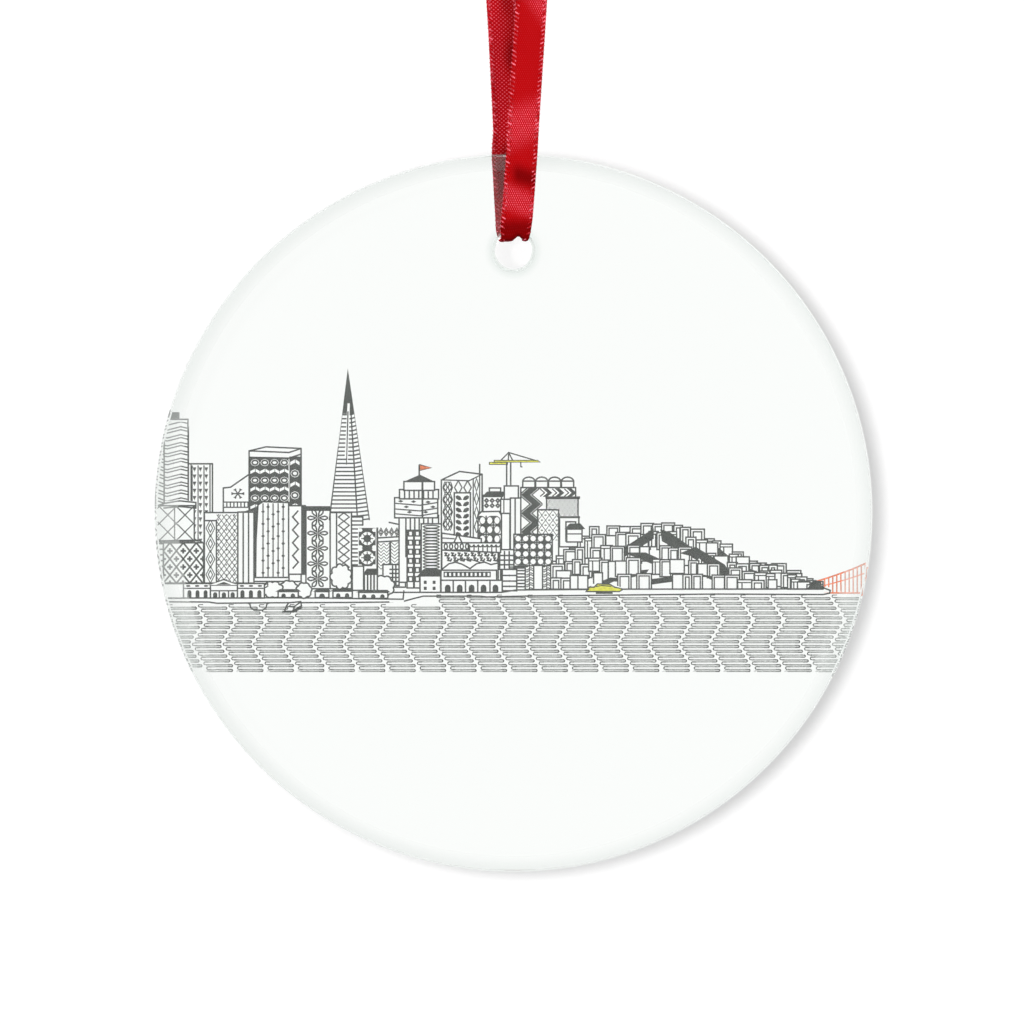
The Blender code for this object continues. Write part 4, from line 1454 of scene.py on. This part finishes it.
plate.solid([(-18.7, -7.6), (-16.8, -7.6), (-16.8, -6.9), (-18.2, -6.9)])
panel(-18.5, -9.9, -16.9, -7.6, uprights, 0.36, 0.17)
plate.box(-20.0, -9.6, -18.6, -6.6)
pavilion(-19.2, -10.6, -15.6, -9.85, 3)
# boats
for x in (-31.6,):
    plate.line([(x - 1.4, -11.15), (x - 1.1, -11.3), (x - 1.0, -11.75), (x - 0.6, -12.05), (x + 0.5, -12.05), (x + 0.9, -11.75), (x + 1.0, -11.3), (x + 1.3, -11.15)], 0.15)
plate.face([(-28.4, -12.2), (-27.4, -12.2), (-26.3, -11.5), (-26.4, -11.0), (-27.9, -11.15), (-28.2, -11.6)])
plate.line([(-28.2, -11.6), (-27.2, -11.6), (-26.4, -11.05)], 0.14)
plate.line([(-27.2, -11.6), (-27.3, -12.2)], 0.14)
plate.line([(-28.7, -12.25), (-27.3, -12.25), (-26.2, -11.7)], 0.2)
plate.clear([(9.2, -9.75), (13.0, -9.75), (13.5, -9.3), (12.2, -8.75), (9.8, -8.8)])
plate.solid([(9.0, -9.72), (13.1, -9.72), (13.6, -9.45), (12.6, -9.25), (9.4, -9.22)], "yellow")
plate.solid([(10.0, -9.22), (12.4, -9.25), (11.9, -8.85), (10.4, -8.82)], "yellow")
plate.line([(9.0, -9.75), (13.1, -9.75), (13.7, -9.45), (12.6, -9.22), (11.9, -8.83), (10.4, -8.8), (10.0, -9.2), (9.35, -9.2)], 0.13, closed=True)
plate.line([(10.2, -9.12), (11.0, -9.0), (12.1, -9.1)], 0.11)
plate.line([(10.2, -9.92), (12.3, -9.92)], 0.2)


RIPPLE_PITCH, RIPPLE_HALF, COLUMN_PITCH, COLUMN_WIDE, ROWS = 0.594, 0.1485, 3.777, 3.35, 16


def sway(row):
    """The columns of the water lean right for five rows and left for five."""
    turn = row % 10
    return 0.355 * (turn if turn < 5 else 10 - turn)


def ripple(x, row, z):
    """One turn of a column's running line: round on the left, along, round on the right and back."""
    left, right, below = x + sway(row), x + COLUMN_WIDE + sway(row + 0.5), x + sway(row + 1)
    half, reach = RIPPLE_HALF, 0.45
    cap_left = arc(left + half, z, half, half, 90, 270, 5)
    cap_right = arc(right - half, z - 2 * half, half, half, -90, 90, 5)
    plate.solid([(below + half, z - 3 * half)] + cap_right + [(left + half, z - half)], "wash")
    for side, end, cap, middle in ((1, left + half, cap_left, z), (-1, right - half, cap_right, z - 2 * half)):
        plate.line(cap, 0.125, "water")
        for lift in (-half, half):
            plate.line([(end, middle + lift), (end + side * reach, middle + lift)], 0.105, "water")
    plate.line([(left + half + reach, z - half), (right - half - reach, z - half)], 0.085, "water_light")
    plate.line([(below + half + reach, z - 3 * half), (right - half - reach, z - 3 * half)], 0.085, "water_light")


for row in range(ROWS):
    z = -10.33 - row * RIPPLE_PITCH
    for column in range(-20, 5):
        x = 28.19 + column * COLUMN_PITCH
        under_shore = z > -11.35 and x < -12.0
        if not under_shore and math.hypot(x + COLUMN_WIDE / 2, z) < 46:
            ripple(x, row, z)


def inside_disc(points):
    """Trims a patch at the print's round edge."""
    for x, z in list(points):
        far = math.hypot(x, z)
        if far > PRINT_RADIUS:
            c, s = x / far, z / far
            a = (c * PRINT_RADIUS + s, s * PRINT_RADIUS - c)
            b = (c * PRINT_RADIUS - s, s * PRINT_RADIUS + c)
            outside, points = split(points, a, b)
            if not points:
                return None
    return points


def ink_piece(name, inks, colour, depth, roughness=0.45):
    material, start, shader = new_finish(name + "_ink", Roughness=roughness)
    place = start.node("ShaderNodeTexCoord", out=3)
    grain = start.node("ShaderNodeTexNoise", None, {"Vector": place, "Scale": 2600.0, "Detail": 1.0})
    darker = tuple(channel * 0.82 for channel in colour)
    x = start.node("ShaderNodeSeparateXYZ", None, {0: place}, out=0)
    z = start.node("ShaderNodeSeparateXYZ", None, {0: place}, out=2) - DISC_Z * MM
    # painted veil: ink over the bevel is painted paler, standing in for the light the bevel reflects
    over_bevel = 0.34 * ((x * x + z * z) ** 0.5).between((BEVEL_RADIUS - 0.1) * MM, (BEVEL_RADIUS + 0.1) * MM)
    start.feed(shader.inputs["Base Color"], over_bevel.blend(grain.between(0.3, 0.7).blend(darker, colour), (0.9, 0.92, 0.91)))
    bm = bmesh.new()
    for ink, points, _ in plate.patches:
        if ink in inks:
            points = inside_disc(points)
            if points:
                corners = [bm.verts.new((x, depth, z + DISC_Z)) for x, z in points]
                bm.faces.new(corners)
    bmesh.ops.remove_doubles(bm, verts=bm.verts, dist=0.004)
    bmesh.ops.scale(bm, vec=(MM, MM, MM), verts=bm.verts)
    piece = add_piece(name, bm, material)
    piece.visible_shadow = piece.visible_glossy = False
    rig.ride(piece, "disc")
    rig.slot(piece, "print")
    return piece


print_outline = ink_piece("print_outline", {"outline"}, (0.042, 0.047, 0.043), INK_Y)
print_water = ink_piece("print_water", {"water"}, (0.066, 0.072, 0.068), INK_Y)
print_water_light = ink_piece("print_water_light", {"water_light"}, (0.26, 0.27, 0.265), INK_Y)
print_wash = ink_piece("print_wash", {"wash"}, (0.82, 0.83, 0.82), INK_Y + 0.02)
print_wash_dark = ink_piece("print_wash_dark", {"wash_dark"}, (0.25, 0.26, 0.25), INK_Y + 0.02)
print_yellow = ink_piece("print_yellow", {"yellow"}, (1.0, 0.98, 0.11), INK_Y + 0.01)
print_orange = ink_piece("print_orange", {"orange"}, (1.0, 0.27, 0.12), INK_Y + 0.015)
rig.replaces(print_outline, "artwork_film")


low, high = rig.bounds()
json.dump({"cad": [list(CAD_BOX[0]), list(CAD_BOX[1])], "visual": [list(low), list(high)]}, open("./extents.json", "w"))
